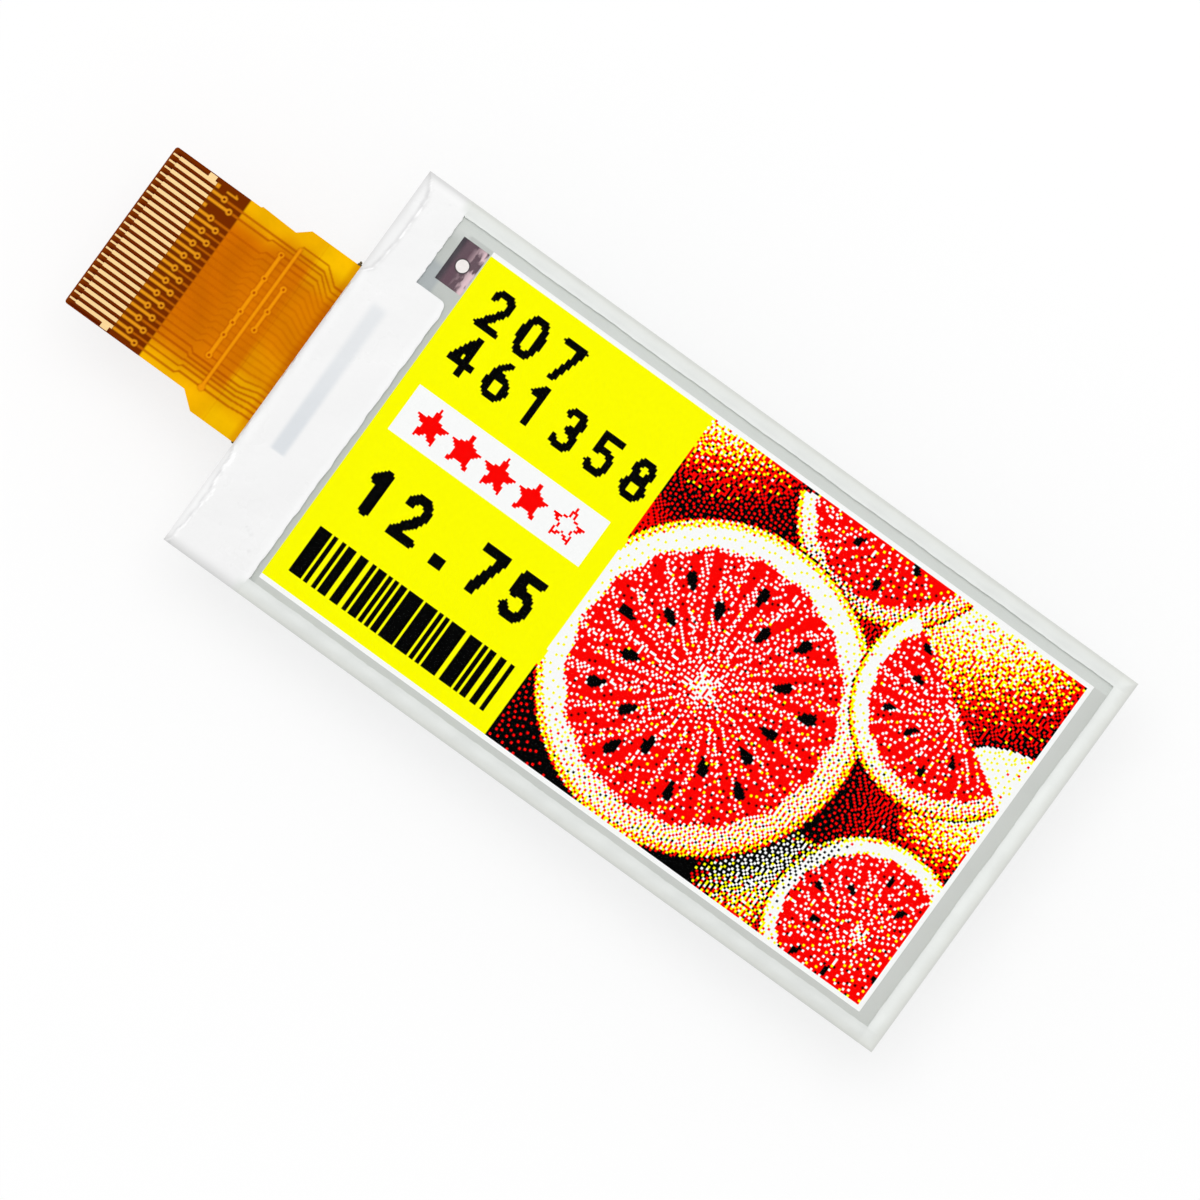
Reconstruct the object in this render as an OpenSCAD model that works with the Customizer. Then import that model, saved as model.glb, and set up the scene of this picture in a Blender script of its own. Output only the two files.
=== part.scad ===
// Four-colour electronic paper display of a shelf label, with its flexible tail.
// X runs along the picture towards its right, Y up the picture, Z out of the front.
// The origin is the centre of the back of the glass.

/* [Picture] */
// Pitch of the pixels
pixel_pitch = 0.163; // [0.13:0.001:0.3]
// Pixels along the picture
pixel_columns = 296; // [200:1:400]
// Pixels up the picture
pixel_rows = 160; // [130:1:300]

/* [Glass] */
// Thickness of the glass
glass_t = 0.5; // [0.3:0.05:0.7]
// Ledge to the left of the picture
ledge_l = 6.45; // [5.5:0.05:10]
// Glass to the right of the picture
margin_right = 2.2; // [1.5:0.05:4]
// Glass above the picture
margin_top = 1.85; // [1.2:0.05:4]
// Glass below the picture
margin_bottom = 1.67; // [1.2:0.01:4]

/* [Front films] */
// Grey film to the right of the picture
border_right = 1.05; // [0.4:0.05:1.2]
// Grey film above the picture
border_top = 0.8; // [0.4:0.05:1]
// Grey film below the picture
border_bottom = 0.5; // [0.3:0.05:0.7]
// Grey film to the left of the picture
border_left = 0.5; // [0.3:0.05:0.6]
// Thickness of the pixel electrodes on the glass
array_t = 0.02; // [0.01:0.01:0.03]
// Thickness of the film that bonds the ink to the pixels
ink_bond_t = 0.03; // [0.02:0.01:0.05]
// Thickness of the ink cells
ink_t = 0.04; // [0.02:0.01:0.06]
// Thickness of the film with the shared front electrode
electrode_t = 0.13; // [0.1:0.01:0.2]
// Thickness of the clear bond under the front sheet
optical_t = 0.05; // [0.02:0.01:0.08]
// Thickness of the front sheet
sheet_t = 0.2; // [0.1:0.01:0.3]

/* [Electrode contact] */
// Width of the film's tab beside the picture
tab_w = 2.45; // [2.3:0.05:2.8]
// Height of the tab
tab_h = 5.35; // [4.8:0.05:8]
// Radius of the tab's inner corner
tab_r = 0.45; // [0.1:0.05:0.6]
// Width of the metal pad
pad_w = 2.05; // [1.5:0.05:2.1]
// Height of the metal pad
pad_h = 3.3; // [2:0.05:3.4]
// Film above the pad
pad_drop = 1.1; // [0.8:0.05:1.3]
// Gap between the pad and the picture
pad_gap = 0.1; // [0.05:0.05:0.2]
// Diameter of the conductive dot
dot_d = 0.88; // [0.5:0.01:1.4]

/* [Driver chip] */
// Length of the chip across the ledge
chip_l = 11.6; // [8:0.1:13]
// Width of the chip
chip_w = 1.05; // [0.7:0.05:1.3]
// Thickness of the chip
chip_t = 0.3; // [0.2:0.02:0.32]
// Thickness of the film that bonds the chip
chip_bond_t = 0.02; // [0.01:0.01:0.03]
// Glass edge to the middle of the chip
chip_inset = 2.65; // [2.5:0.05:3]

/* [Ledge wiring] */
// Thickness of the metal lines on the glass
wire_t = 0.01; // [0.01:0.005:0.015]
// Width of a line from the tail to the chip
feed_w = 0.2; // [0.1:0.01:0.25]
// Lines from the chip to the picture
fan_lines = 40; // [10:1:60]
// Width of a line from the chip to the picture
fan_w = 0.1; // [0.05:0.01:0.12]

/* [White coat and edge seal] */
// Height of both above the glass
rim_rise = 0.4; // [0.38:0.01:0.45]
// Height of both at the edge of the glass
rim_edge_rise = 0.2; // [0.16:0.01:0.3]
// Width of the rounded slope at the edge of the glass
rim_slope = 1; // [0.5:0.05:1.3]

/* [Tail outline] */
// Glass edge to the contact end
tail_l = 14.3; // [13:0.1:30]
// Width at the glass
root_w = 14.15; // [13.6:0.05:16]
// Middle of the root above the middle of the glass
root_shift = 0.04; // [-0.1:0.01:0.1]
// Middle of the contacts above the middle of the glass
tail_shift = 0.18; // [0:0.01:0.25]
// End of the bend to the upper shoulder
upper_wide_l = 1.39; // [0.5:0.01:1.8]
// End of the bend to the lower shoulder
lower_wide_l = 0.99; // [0.5:0.01:1.8]
// Run of a shoulder for each millimetre that it steps in
shoulder_run = 1.2; // [0.6:0.05:1.5]
// Radius of the corners at the contact end
end_r = 0.2; // [0.05:0.05:0.4]
// Height of the cutting step on the upper edge
edge_step = 0.1; // [0.05:0.01:0.15]
// Length of the cutting step
edge_step_l = 2.7; // [1.5:0.1:2.8]
// Cutting step to the upper shoulder
edge_step_gap = 0.1; // [0.05:0.05:0.2]

/* [Tail layers] */
// Thickness of the base film
base_t = 0.03; // [0.02:0.005:0.05]
// Thickness of each copper layer
copper_t = 0.02; // [0.01:0.005:0.03]
// Thickness of each cover film over its copper
cover_t = 0.03; // [0.02:0.005:0.05]
// Thickness of the film that bonds the tail to the glass
tail_bond_t = 0.02; // [0.01:0.005:0.03]
// Length of the tail on the glass
bond_l = 1.3; // [0.8:0.05:1.8]
// Thickness of the stiffener
stiffener_t = 0.17; // [0.1:0.01:0.22]
// Thickness of the stiffener's bond
stiffener_bond_t = 0.03; // [0.02:0.005:0.05]
// Length of the stiffener
stiffener_l = 6; // [5.7:0.1:7]

/* [Contacts] */
// Number of contacts
contacts = 24; // [20:1:24]
// Pitch of the contacts
contact_pitch = 0.5; // [0.45:0.01:0.5]
// Outer contact to the side of the tail
side_gap = 0.5; // [0.4:0.05:0.6]
// Width of a contact
contact_w = 0.25; // [0.2:0.01:0.35]
// Bare length of the contacts, from the end of the film
contact_l = 3.53; // [2.5:0.01:3.6]
// Film beyond the contacts' tips
tip_gap = 0.1; // [0.05:0.01:0.2]
// Length of a contact's narrow tip
tip_l = 0.52; // [0.3:0.02:0.8]
// Width of the narrow tip
tip_w = 0.13; // [0.1:0.01:0.18]
// Length of the side tabs on the two outer contacts
ear_l = 0.57; // [0.3:0.01:0.8]
// Cover film to a side tab
ear_gap = 0.18; // [0.05:0.01:0.5]
// Film outside a side tab
ear_margin = 0.06; // [0.03:0.01:0.12]

/* [Copper lines] */
// Cover film's edge to the nearer row of plated holes
near_hole_place = 1; // [0.5:0.01:1.2]
// Cover film's edge to the further row of plated holes
far_hole_place = 1.72; // [1.5:0.01:2]
// Diameter of the ring round a plated hole
ring_d = 0.44; // [0.36:0.01:0.46]
// Diameter of a plated hole
hole_d = 0.18; // [0.1:0.01:0.22]
// Thickness of the copper that lines a plated hole
plating_t = 0.03; // [0.02:0.005:0.05]
// Width of a covered line on the front
stub_w = 0.2; // [0.12:0.01:0.25]
// Length of the unused contacts' covered ends
dead_end_l = 0.28; // [0.1:0.01:0.5]
// Width of a line on the back
line_w = 0.15; // [0.1:0.01:0.2]
// End of the bend to where the back lines step aside
jog_place = 3.34; // [2.8:0.01:4]
// Pitch of the back lines where they meet the glass
bond_pitch = 0.427; // [0.36:0.001:0.45]
// Glass edge to where the back lines reach that pitch
fan_gap = 0.65; // [0.3:0.05:0.9]
// Length over which they close up
fan_l = 1.1; // [0.8:0.05:1.3]
// Width of the cross bars on the front
bar_w = 0.2; // [0.1:0.01:0.25]
// End of the bend to the seven-hole cross bar
long_bar_place = 2.13; // [1.9:0.01:2.3]
// End of the bend to the full-width cross bar
plain_bar_place = 1.3; // [1.2:0.01:1.5]
// End of the bend to the three-hole cross bar
short_bar_place = 0.7; // [0.4:0.01:0.8]
// Length of the first-contact mark
mark_l = 0.85; // [0.5:0.01:0.9]

/* [Bend] */
// Glass edge to the bend
bend_gap = 0.45; // [0.4:0.01:0.6]
// Length of film that takes the bend
bend_l = 2.06; // [2:0.01:2.1]
// Depth of the glue under the root, down the edge of the glass
glue_depth = 0.35; // [0.2:0.01:0.45]

/* [Hidden] */
$fn = 48;

// Overrun of every cut
cut = 1;

// Edges of the glass
glass_l = ledge_l + pixel_columns * pixel_pitch + margin_right;
glass_w = margin_bottom + pixel_rows * pixel_pitch + margin_top;
glass_left = -glass_l / 2;
glass_right = glass_l / 2;
glass_low = -glass_w / 2;
glass_high = glass_w / 2;

// Edges of the picture
picture_left = glass_left + ledge_l;
picture_right = glass_right - margin_right;
picture_low = glass_low + margin_bottom;
picture_high = glass_high - margin_top;
picture_middle = (picture_high + picture_low) / 2;

// Edges of the front films, their tab and the pad in it
film_left = picture_left - border_left;
film_right = picture_right + border_right;
film_low = picture_low - border_bottom;
film_high = picture_high + border_top;
tab_left = film_left - tab_w;
tab_low = film_high - tab_h;
pad_high = film_high - pad_drop;
pad_low = pad_high - pad_h;
pad_right = picture_left - pad_gap;
pad_left = pad_right - pad_w;

// Levels of the front stack
ink_bond_z = glass_t + array_t;
ink_z = ink_bond_z + ink_bond_t;
electrode_z = ink_z + ink_t;
optical_z = electrode_z + electrode_t;
sheet_z = optical_z + optical_t;
front_z = sheet_z + sheet_t;

// Place of the chip
chip_left = glass_left + chip_inset - chip_w / 2;
chip_right = chip_left + chip_w;
chip_low = picture_middle - chip_l / 2;
chip_z = glass_t + chip_bond_t;

// Levels of the tail
back_copper_z = glass_t + tail_bond_t;
base_z = back_copper_z + copper_t;
base_top = base_z + base_t;
front_copper_top = base_top + copper_t;
cover_top = front_copper_top + cover_t;
back_cover_z = back_copper_z - cover_t;
stiffener_bond_z = back_cover_z - stiffener_bond_t;
stiffener_z = stiffener_bond_z - stiffener_t;

// Thickness and middle level of the film that bends
bend_t = base_top - back_cover_z;
bend_z = (base_top + back_cover_z) / 2;

// Five bend lines share the bend
BEND_LINES = 5;
bend_start = glass_left - bend_gap;
bend_end = bend_start - bend_l;
bend_step = bend_l / BEND_LINES;
function bend_x(line) = bend_start - (line - 0.5) * bend_step;

// Outline of the tail
bond_right = glass_left + bond_l;
end_x = glass_left - tail_l;
root_high = root_shift + root_w / 2;
root_low = root_shift - root_w / 2;
contact_span = (contacts - 1) * contact_pitch;
tail_high = tail_shift + contact_span / 2 + side_gap;
tail_low = tail_shift - contact_span / 2 - side_gap;
upper_wide_x = bend_end - upper_wide_l;
upper_narrow_x = upper_wide_x - abs(root_high - tail_high) * shoulder_run;
lower_wide_x = bend_end - lower_wide_l;
lower_narrow_x = lower_wide_x - abs(tail_low - root_low) * shoulder_run;
step_right = upper_narrow_x - edge_step_gap;
step_left = step_right - edge_step_l;
cover_x = end_x + contact_l;
stiffener_x = end_x + stiffener_l;

// Contacts are counted from the top. The first and the fourth have no plated hole,
// and the mark of the first lies beside the hole of the third.
MARKED_HOLE = 3;
function contact_y(k) = tail_shift + contact_span / 2 - (k - 1) * contact_pitch;
function span_y(share) = contact_y(1) - share * contact_span;
function near_hole(k) = k == 2 || (k > 4 && k % 2 == 1);
function has_hole(k) = k != 1 && k != 4;
function hole_x(k) = cover_x + (near_hole(k) ? near_hole_place : far_hole_place);

// Sideways step of each back line, in shares of the contact pitch
third_step_share = 0.4;
middle_step_share = 0.6;
last_step_shares = [-0.54, -0.26, 0.06, 0.36, 0.46];
LAST = len(last_step_shares);
function step_share(k) =
    k == 2 ? 0 :
    k == 3 ? third_step_share :
    k <= contacts - LAST ? middle_step_share : last_step_shares[k - contacts + LAST - 1];

// Plated holes of the cross bars, in shares of the way from the first contact to the last
long_bar_shares = [0.11, 0.274, 0.373, 0.504, 0.579, 0.665, 0.807];
short_bar_shares = [0.261, 0.417, 0.543];
plain_bar_shares = [0.012, 0.98];
long_bar_x = bend_end - long_bar_place;
plain_bar_x = bend_end - plain_bar_place;
short_bar_x = bend_end - short_bar_place;
jog_x = bend_end - jog_place;
fan_right = glass_left - fan_gap;
fan_left = fan_right - fan_l;

// Plated holes: they join the front copper to the back lines
hole_places = concat(
    [for (k = [1:contacts]) if (has_hole(k)) [hole_x(k), contact_y(k)]],
    [for (s = long_bar_shares) [long_bar_x, span_y(s)]],
    [for (s = short_bar_shares) [short_bar_x, span_y(s)]]
);

// Back lines from the top: the place where each starts, where it starts up the tail,
// and where it runs after its sideways step
function contact_line(k) =
    [hole_x(k), contact_y(k), contact_y(k) + step_share(k) * contact_pitch];
function bar_line(x, y) = [x, y, y];
back_lines = concat(
    [bar_line(plain_bar_x, contact_y(1))],
    [for (k = [2, 3]) contact_line(k)],
    [bar_line(long_bar_x, span_y(long_bar_shares[0]))],
    [for (k = [5:contacts - LAST]) contact_line(k)],
    [bar_line(long_bar_x, span_y(long_bar_shares[len(long_bar_shares) - 1]))],
    [for (k = [contacts - LAST + 1:contacts]) contact_line(k)]
);
LINES = len(back_lines);
function bond_y(i) = picture_middle + ((LINES - 1) / 2 - i) * bond_pitch;
function line_path(i) =
    let (start = back_lines[i], step = abs(start[2] - start[1]))
    concat(
        [[start[0], start[1]]],
        step > 0 ? [[jog_x, start[1]], [jog_x + step, start[2]]] : [],
        [[fan_left, start[2]], [fan_right, bond_y(i)], [bond_right, bond_y(i)]]
    );

// Outline of a line that runs from left to right through the points of a path
function ribbon(path, w) = concat(
    [for (p = path) [p[0], p[1] + w / 2]],
    [for (i = [len(path) - 1:-1:0]) [path[i][0], path[i][1] - w / 2]]
);

// Points of an arc of radius r round a centre
ARC_STEPS = 6;
function arc(centre, r, from, to) = [
    for (i = [0:ARC_STEPS])
        let (a = from + (to - from) * i / ARC_STEPS)
        [centre[0] + r * cos(a), centre[1] + r * sin(a)]
];

// A box from one corner to the other
module span(low, high) {
    translate(low) cube(high - low);
}

// Outline of the front films with their tab
module film_outline() {
    translate([film_left, film_low]) square([film_right - film_left, film_high - film_low]);
    translate([tab_left, tab_low]) square([tab_w, tab_h]);
    difference() {
        translate([film_left - tab_r, tab_low - tab_r]) square(tab_r);
        translate([film_left - tab_r, tab_low - tab_r]) circle(tab_r);
    }
}

module front_film(z, t) {
    translate([0, 0, z]) linear_extrude(t) film_outline();
}

// Opening over the pad in the films below the front electrode
module pad_window() {
    span([pad_left, pad_low, glass_t - cut], [pad_right, pad_high, electrode_z]);
}

// Rounded section of the rim, from one edge of the glass to the other
function rim_section(half) = concat(
    [[-half, glass_t]],
    [for (i = [0:ARC_STEPS])
        let (a = 90 * i / ARC_STEPS)
        [-half + rim_slope * (1 - cos(a)),
         glass_t + rim_edge_rise + (rim_rise - rim_edge_rise) * sin(a)]],
    [for (i = [ARC_STEPS:-1:0])
        let (a = 90 * i / ARC_STEPS)
        [half - rim_slope * (1 - cos(a)),
         glass_t + rim_edge_rise + (rim_rise - rim_edge_rise) * sin(a)]],
    [[half, glass_t]]
);

// Body of sealant over the whole glass, sloping down at its four edges
module rim_form() {
    intersection() {
        translate([glass_left, 0, 0]) rotate([90, 0, 90])
            linear_extrude(glass_l) polygon(rim_section(glass_w / 2));
        translate([0, glass_high, 0]) rotate([90, 0, 0])
            linear_extrude(glass_w) polygon(rim_section(glass_l / 2));
    }
}

// The ledge beside the front films
module ledge_zone(z0, z1) {
    difference() {
        span([glass_left, glass_low, z0], [film_left, glass_high, z1]);
        span([tab_left, tab_low, z0 - cut], [film_left + cut, glass_high + cut, z1 + cut]);
        translate([0, 0, z0 - cut]) linear_extrude(z1 - z0 + 2 * cut) film_outline();
    }
}

// Outline of the tail from the last bend line to its contact end
module tail_outline() {
    polygon(concat(
        [[bend_x(BEND_LINES), root_low], [bend_x(BEND_LINES), root_high],
         [upper_wide_x, root_high],
         [upper_narrow_x, tail_high], [step_right, tail_high],
         [step_left + edge_step, tail_high + edge_step], [step_left, tail_high]],
        arc([end_x + end_r, tail_high - end_r], end_r, 90, 180),
        arc([end_x + end_r, tail_low + end_r], end_r, 180, 270),
        [[lower_narrow_x, tail_low], [lower_wide_x, root_low]]
    ));
}

module tail_layer(x0, x1, z0, z1) {
    intersection() {
        translate([0, 0, z0]) linear_extrude(z1 - z0) tail_outline();
        span([x0, root_low - cut, z0 - cut], [x1, root_high + cut, z1 + cut]);
    }
}

// Copper ring round a plated hole
module ring(place, z) {
    translate([place[0], place[1], z]) cylinder(h = copper_t, d = ring_d);
}

// Copper lines on the back of the base film, between two places along the tail
module back_line_run(x0, x1) {
    intersection() {
        union() {
            translate([0, 0, back_copper_z]) linear_extrude(copper_t)
                for (i = [0:LINES - 1]) polygon(ribbon(line_path(i), line_w));
            for (p = hole_places) ring(p, back_copper_z);
        }
        span([x0, root_low, back_copper_z - cut], [x1, root_high, base_z + cut]);
    }
}

// Round edge of film on a bend line
module bend_round(line, overrun) {
    translate([bend_x(line), root_low - overrun, bend_z]) rotate([-90, 0, 0])
        cylinder(h = root_w + 2 * overrun, d = bend_t);
}

// Film between two bend lines: round towards the glass, hollow towards the tail
module bend_film(line) {
    color("goldenrod") difference() {
        union() {
            span([bend_x(line + 1), root_low, back_cover_z], [bend_x(line), root_high, base_top]);
            bend_round(line, 0);
        }
        bend_round(line + 1, cut);
        back_line_run(bend_x(line + 1) - bend_t, bend_x(line) + bend_t);
    }
}

module bend_copper(line) {
    color("chocolate") back_line_run(bend_x(line + 1), bend_x(line));
}

// Copper linings of the plated holes, through the base film
module hole_linings() {
    for (p = hole_places)
        translate([p[0], p[1], base_z]) cylinder(h = base_t, d = hole_d + 2 * plating_t);
}

module bar(x, shares) {
    span([x - bar_w / 2, span_y(shares[len(shares) - 1]), base_top],
         [x + bar_w / 2, span_y(shares[0]), front_copper_top]);
}

// Sub-parts of the display

module backplane_glass() {
    color("lightsteelblue") span([glass_left, glass_low, 0], [glass_right, glass_high, glass_t]);
}

module pixel_array() {
    color("dimgray") difference() {
        front_film(glass_t, array_t);
        pad_window();
    }
}

// Metal lines from the tail to the chip and from the chip to the picture
module ledge_wiring() {
    fan_high = tab_low - tab_r;
    color("slategray") translate([0, 0, glass_t]) linear_extrude(wire_t) {
        for (i = [0:LINES - 1])
            polygon(ribbon([[bond_right, bond_y(i)], [chip_left, bond_y(i)]], feed_w));
        for (i = [0:fan_lines - 1])
            let (share = (i + 0.5) / fan_lines)
            polygon(ribbon([
                [chip_right, chip_low + share * chip_l],
                [film_left, film_low + share * (fan_high - film_low)]
            ], fan_w));
    }
}

module electrode_pad() {
    color("indigo") span([pad_left, pad_low, glass_t], [pad_right, pad_high, ink_bond_z]);
}

module conductive_dot() {
    color("whitesmoke")
        translate([(pad_left + pad_right) / 2, (pad_low + pad_high) / 2, ink_bond_z])
        cylinder(h = electrode_z - ink_bond_z, d = dot_d);
}

module ink_bond_film() {
    color("gainsboro") difference() {
        front_film(ink_bond_z, ink_bond_t);
        pad_window();
    }
}

module ink_layer() {
    color("gold") difference() {
        front_film(ink_z, ink_t);
        pad_window();
    }
}

module electrode_film() {
    color("lightgray") front_film(electrode_z, electrode_t);
}

module optical_bond_film() {
    color("azure") front_film(optical_z, optical_t);
}

module protective_sheet() {
    color("silver") front_film(sheet_z, sheet_t);
}

// Bead round the films on the glass, up to the coat
module edge_seal() {
    color("honeydew") difference() {
        rim_form();
        ledge_zone(glass_t - cut, front_z);
        front_film(glass_t - cut, front_z - glass_t + 2 * cut);
    }
}

module driver_chip() {
    color("darkslategray")
        span([chip_left, chip_low, chip_z], [chip_right, chip_low + chip_l, chip_z + chip_t]);
}

module chip_bond_film() {
    color("tan") span([chip_left, chip_low, glass_t], [chip_right, chip_low + chip_l, chip_z]);
}

// White coat over the chip, the wiring and the root of the tail
module ledge_coat() {
    color("white") difference() {
        intersection() {
            rim_form();
            ledge_zone(glass_t - cut, front_z);
        }
        span([chip_left, chip_low, glass_t - cut], [chip_right, chip_low + chip_l, chip_z + chip_t]);
        span([glass_left - cut, root_low, glass_t - cut], [bond_right, root_high, base_top]);
        ledge_wiring();
    }
}

// Sub-parts of the tail's root

module flex_bond_film() {
    color("tan") difference() {
        span([glass_left, root_low, glass_t], [bond_right, root_high, base_z]);
        back_line_run(glass_left - cut, bond_right + cut);
    }
}

module flex_root_film() {
    color("goldenrod") difference() {
        translate([0, root_high, 0]) rotate([90, 0, 0]) linear_extrude(root_w) polygon([
            [bend_x(1), back_cover_z], [bend_start, back_cover_z], [bend_start, base_z],
            [bond_right, base_z], [bond_right, base_top], [bend_x(1), base_top]
        ]);
        bend_round(1, cut);
        back_line_run(bend_x(1) - cut, bond_right + cut);
    }
}

module flex_root_copper() {
    color("chocolate") back_line_run(bend_x(1), bond_right);
}

// Glue that fills the corner between the root and the edge of the glass
module root_glue() {
    color("peru") difference() {
        translate([0, root_high, 0]) rotate([90, 0, 0]) linear_extrude(root_w) polygon([
            [glass_left, glass_t - glue_depth], [glass_left, base_z],
            [bend_start, base_z], [bend_start, back_cover_z]
        ]);
        back_line_run(bend_start - cut, glass_left + cut);
    }
}

// Sub-parts of the tail

module tail_film() {
    color("goldenrod") difference() {
        union() {
            tail_layer(end_x, bend_x(BEND_LINES), base_z, base_top);
            span([bend_end, root_low, back_cover_z], [bend_x(BEND_LINES), root_high, base_top]);
            bend_round(BEND_LINES, 0);
        }
        back_line_run(bend_end - cut, bend_x(BEND_LINES) + bend_t);
        hole_linings();
    }
}

module contact_fingers() {
    ear_right = cover_x - ear_gap;
    ear_left = ear_right - ear_l;
    color("wheat") {
        for (k = [1:contacts]) {
            span([end_x + tip_gap, contact_y(k) - tip_w / 2, base_top],
                 [end_x + tip_gap + tip_l, contact_y(k) + tip_w / 2, front_copper_top]);
            span([end_x + tip_gap + tip_l, contact_y(k) - contact_w / 2, base_top],
                 [cover_x, contact_y(k) + contact_w / 2, front_copper_top]);
        }
        span([ear_left, contact_y(1), base_top],
             [ear_right, tail_high - ear_margin, front_copper_top]);
        span([ear_left, tail_low + ear_margin, base_top],
             [ear_right, contact_y(contacts), front_copper_top]);
    }
}

// Covered ends of the contacts, cross bars, their plated holes and the first-contact mark
module front_copper() {
    mark_w = stub_w / 2;
    mark_x = hole_x(MARKED_HOLE) - mark_l / 2;
    mark_y = contact_y(1);
    color("orange") difference() {
        union() {
            for (k = [1:contacts]) {
                if (has_hole(k)) {
                    span([cover_x, contact_y(k) - stub_w / 2, base_top],
                         [hole_x(k), contact_y(k) + stub_w / 2, front_copper_top]);
                } else {
                    span([cover_x, contact_y(k) - contact_w / 2, base_top],
                         [cover_x + dead_end_l, contact_y(k) + contact_w / 2, front_copper_top]);
                }
            }
            bar(long_bar_x, long_bar_shares);
            bar(short_bar_x, short_bar_shares);
            bar(plain_bar_x, plain_bar_shares);
            ring([plain_bar_x, span_y(plain_bar_shares[1])], base_top);
            for (p = hole_places) ring(p, base_top);
            hole_linings();
            translate([mark_x, mark_y, base_top]) linear_extrude(copper_t) polygon([
                [-mark_l / 2, -mark_w / 2], [mark_l / 2, -mark_w / 2],
                [mark_l / 2, mark_w / 2], [mark_l / 4, mark_w * 2], [mark_l / 4, mark_w],
                [mark_l / 3, mark_w / 2], [-mark_l / 2, mark_w / 2]
            ]);
        }
        for (p = hole_places)
            translate([p[0], p[1], base_z - cut])
            cylinder(h = front_copper_top - base_z + 2 * cut, d = hole_d);
    }
}

module back_copper() {
    color("chocolate") back_line_run(end_x, bend_x(BEND_LINES));
}

module front_coverlay() {
    color("orange", 0.6) difference() {
        tail_layer(cover_x, bend_end, base_top, cover_top);
        front_copper();
    }
}

module back_coverlay() {
    color("darkorange") difference() {
        tail_layer(end_x, bend_end, back_cover_z, base_z);
        back_copper();
    }
}

module stiffener() {
    color("saddlebrown") tail_layer(end_x, stiffener_x, stiffener_z, stiffener_bond_z);
}

module stiffener_bond() {
    color("sienna") tail_layer(end_x, stiffener_x, stiffener_bond_z, back_cover_z);
}

backplane_glass();
pixel_array();
ledge_wiring();
electrode_pad();
conductive_dot();
ink_bond_film();
ink_layer();
electrode_film();
optical_bond_film();
protective_sheet();
edge_seal();
driver_chip();
chip_bond_film();
ledge_coat();
flex_bond_film();
flex_root_film();
flex_root_copper();
root_glue();
bend_film(1);  // bend_film_1
bend_film(2);  // bend_film_2
bend_film(3);  // bend_film_3
bend_film(4);  // bend_film_4
bend_copper(1);  // bend_copper_1
bend_copper(2);  // bend_copper_2
bend_copper(3);  // bend_copper_3
bend_copper(4);  // bend_copper_4
tail_film();
contact_fingers();
front_copper();
back_copper();
front_coverlay();
back_coverlay();
stiffener();
stiffener_bond();
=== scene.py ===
import math

import bpy
import numpy as np
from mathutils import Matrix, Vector
from mathutils.bvhtree import BVHTree


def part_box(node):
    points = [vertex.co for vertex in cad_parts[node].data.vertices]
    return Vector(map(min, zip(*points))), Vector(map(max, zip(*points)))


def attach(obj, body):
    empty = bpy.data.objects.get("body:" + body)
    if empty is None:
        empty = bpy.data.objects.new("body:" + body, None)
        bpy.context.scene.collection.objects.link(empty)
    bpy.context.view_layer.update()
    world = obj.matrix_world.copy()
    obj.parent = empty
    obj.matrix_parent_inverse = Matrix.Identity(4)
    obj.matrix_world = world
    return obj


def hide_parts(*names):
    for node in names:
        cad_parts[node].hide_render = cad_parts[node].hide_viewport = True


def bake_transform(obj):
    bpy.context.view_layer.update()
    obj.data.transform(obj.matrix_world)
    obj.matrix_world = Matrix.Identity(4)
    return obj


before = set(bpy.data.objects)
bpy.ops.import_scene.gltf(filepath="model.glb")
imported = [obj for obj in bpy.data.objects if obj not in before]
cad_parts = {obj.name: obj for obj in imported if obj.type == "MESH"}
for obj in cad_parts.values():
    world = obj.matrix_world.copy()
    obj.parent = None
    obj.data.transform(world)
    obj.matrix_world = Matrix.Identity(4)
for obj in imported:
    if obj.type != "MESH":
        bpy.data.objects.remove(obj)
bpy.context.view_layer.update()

MM = 0.001

# Boxes of the CAD nodes that the looks are placed by, in millimetres


def edges(node):
    low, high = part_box(node)
    return np.array(low) / MM, np.array(high) / MM


GLASS_LOW, GLASS_HIGH = edges("backplane_glass")
INK_LOW, INK_HIGH = edges("ink_layer")
FRONT_TOP = edges("protective_sheet")[1][2]
PAD_LOW, PAD_HIGH = edges("electrode_pad")
DOT_LOW, DOT_HIGH = edges("conductive_dot")
CHIP_LOW, CHIP_HIGH = edges("driver_chip")
TAIL_LOW, TAIL_HIGH = edges("tail_film")
WIDE_LOW, WIDE_HIGH = TAIL_LOW[1], TAIL_HIGH[1]
BEND_LOW, BEND_HIGH = edges("bend_film_1")
COVER_LOW, COVER_HIGH = edges("front_coverlay")
BACK_LOW, BACK_HIGH = edges("back_coverlay")
FINGERS_LOW, FINGERS_HIGH = edges("contact_fingers")
STIFFENER_LOW, STIFFENER_HIGH = edges("stiffener")
ROOT_RIGHT = edges("flex_root_film")[1][0]

# Picture: pixels of the display and where they lie on the ink
PITCH = 0.163
COLUMNS = 296
ROWS = 160
BORDER_RIGHT = 1.05
BORDER_TOP = 0.8
PICTURE_RIGHT = INK_HIGH[0] - BORDER_RIGHT
PICTURE_HIGH = INK_HIGH[1] - BORDER_TOP
PICTURE_LEFT = PICTURE_RIGHT - COLUMNS * PITCH
PICTURE_LOW = PICTURE_HIGH - ROWS * PITCH

# Outline of the front films with their tab
TAB_LEFT = INK_LOW[0]
TAB_RADIUS = 0.45
TAB_HEIGHT = 5.35
TAB_LOW = INK_HIGH[1] - TAB_HEIGHT
LEFT_MARGIN = 0.5
FILM_LEFT = PICTURE_LEFT - LEFT_MARGIN


# Colours


def linear(*levels):
    """Linear colour of 8-bit display levels."""
    c = np.array(levels, float) / 255
    return np.where(c <= 0.04045, c / 12.92, ((c + 0.055) / 1.055) ** 2.4)


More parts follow.
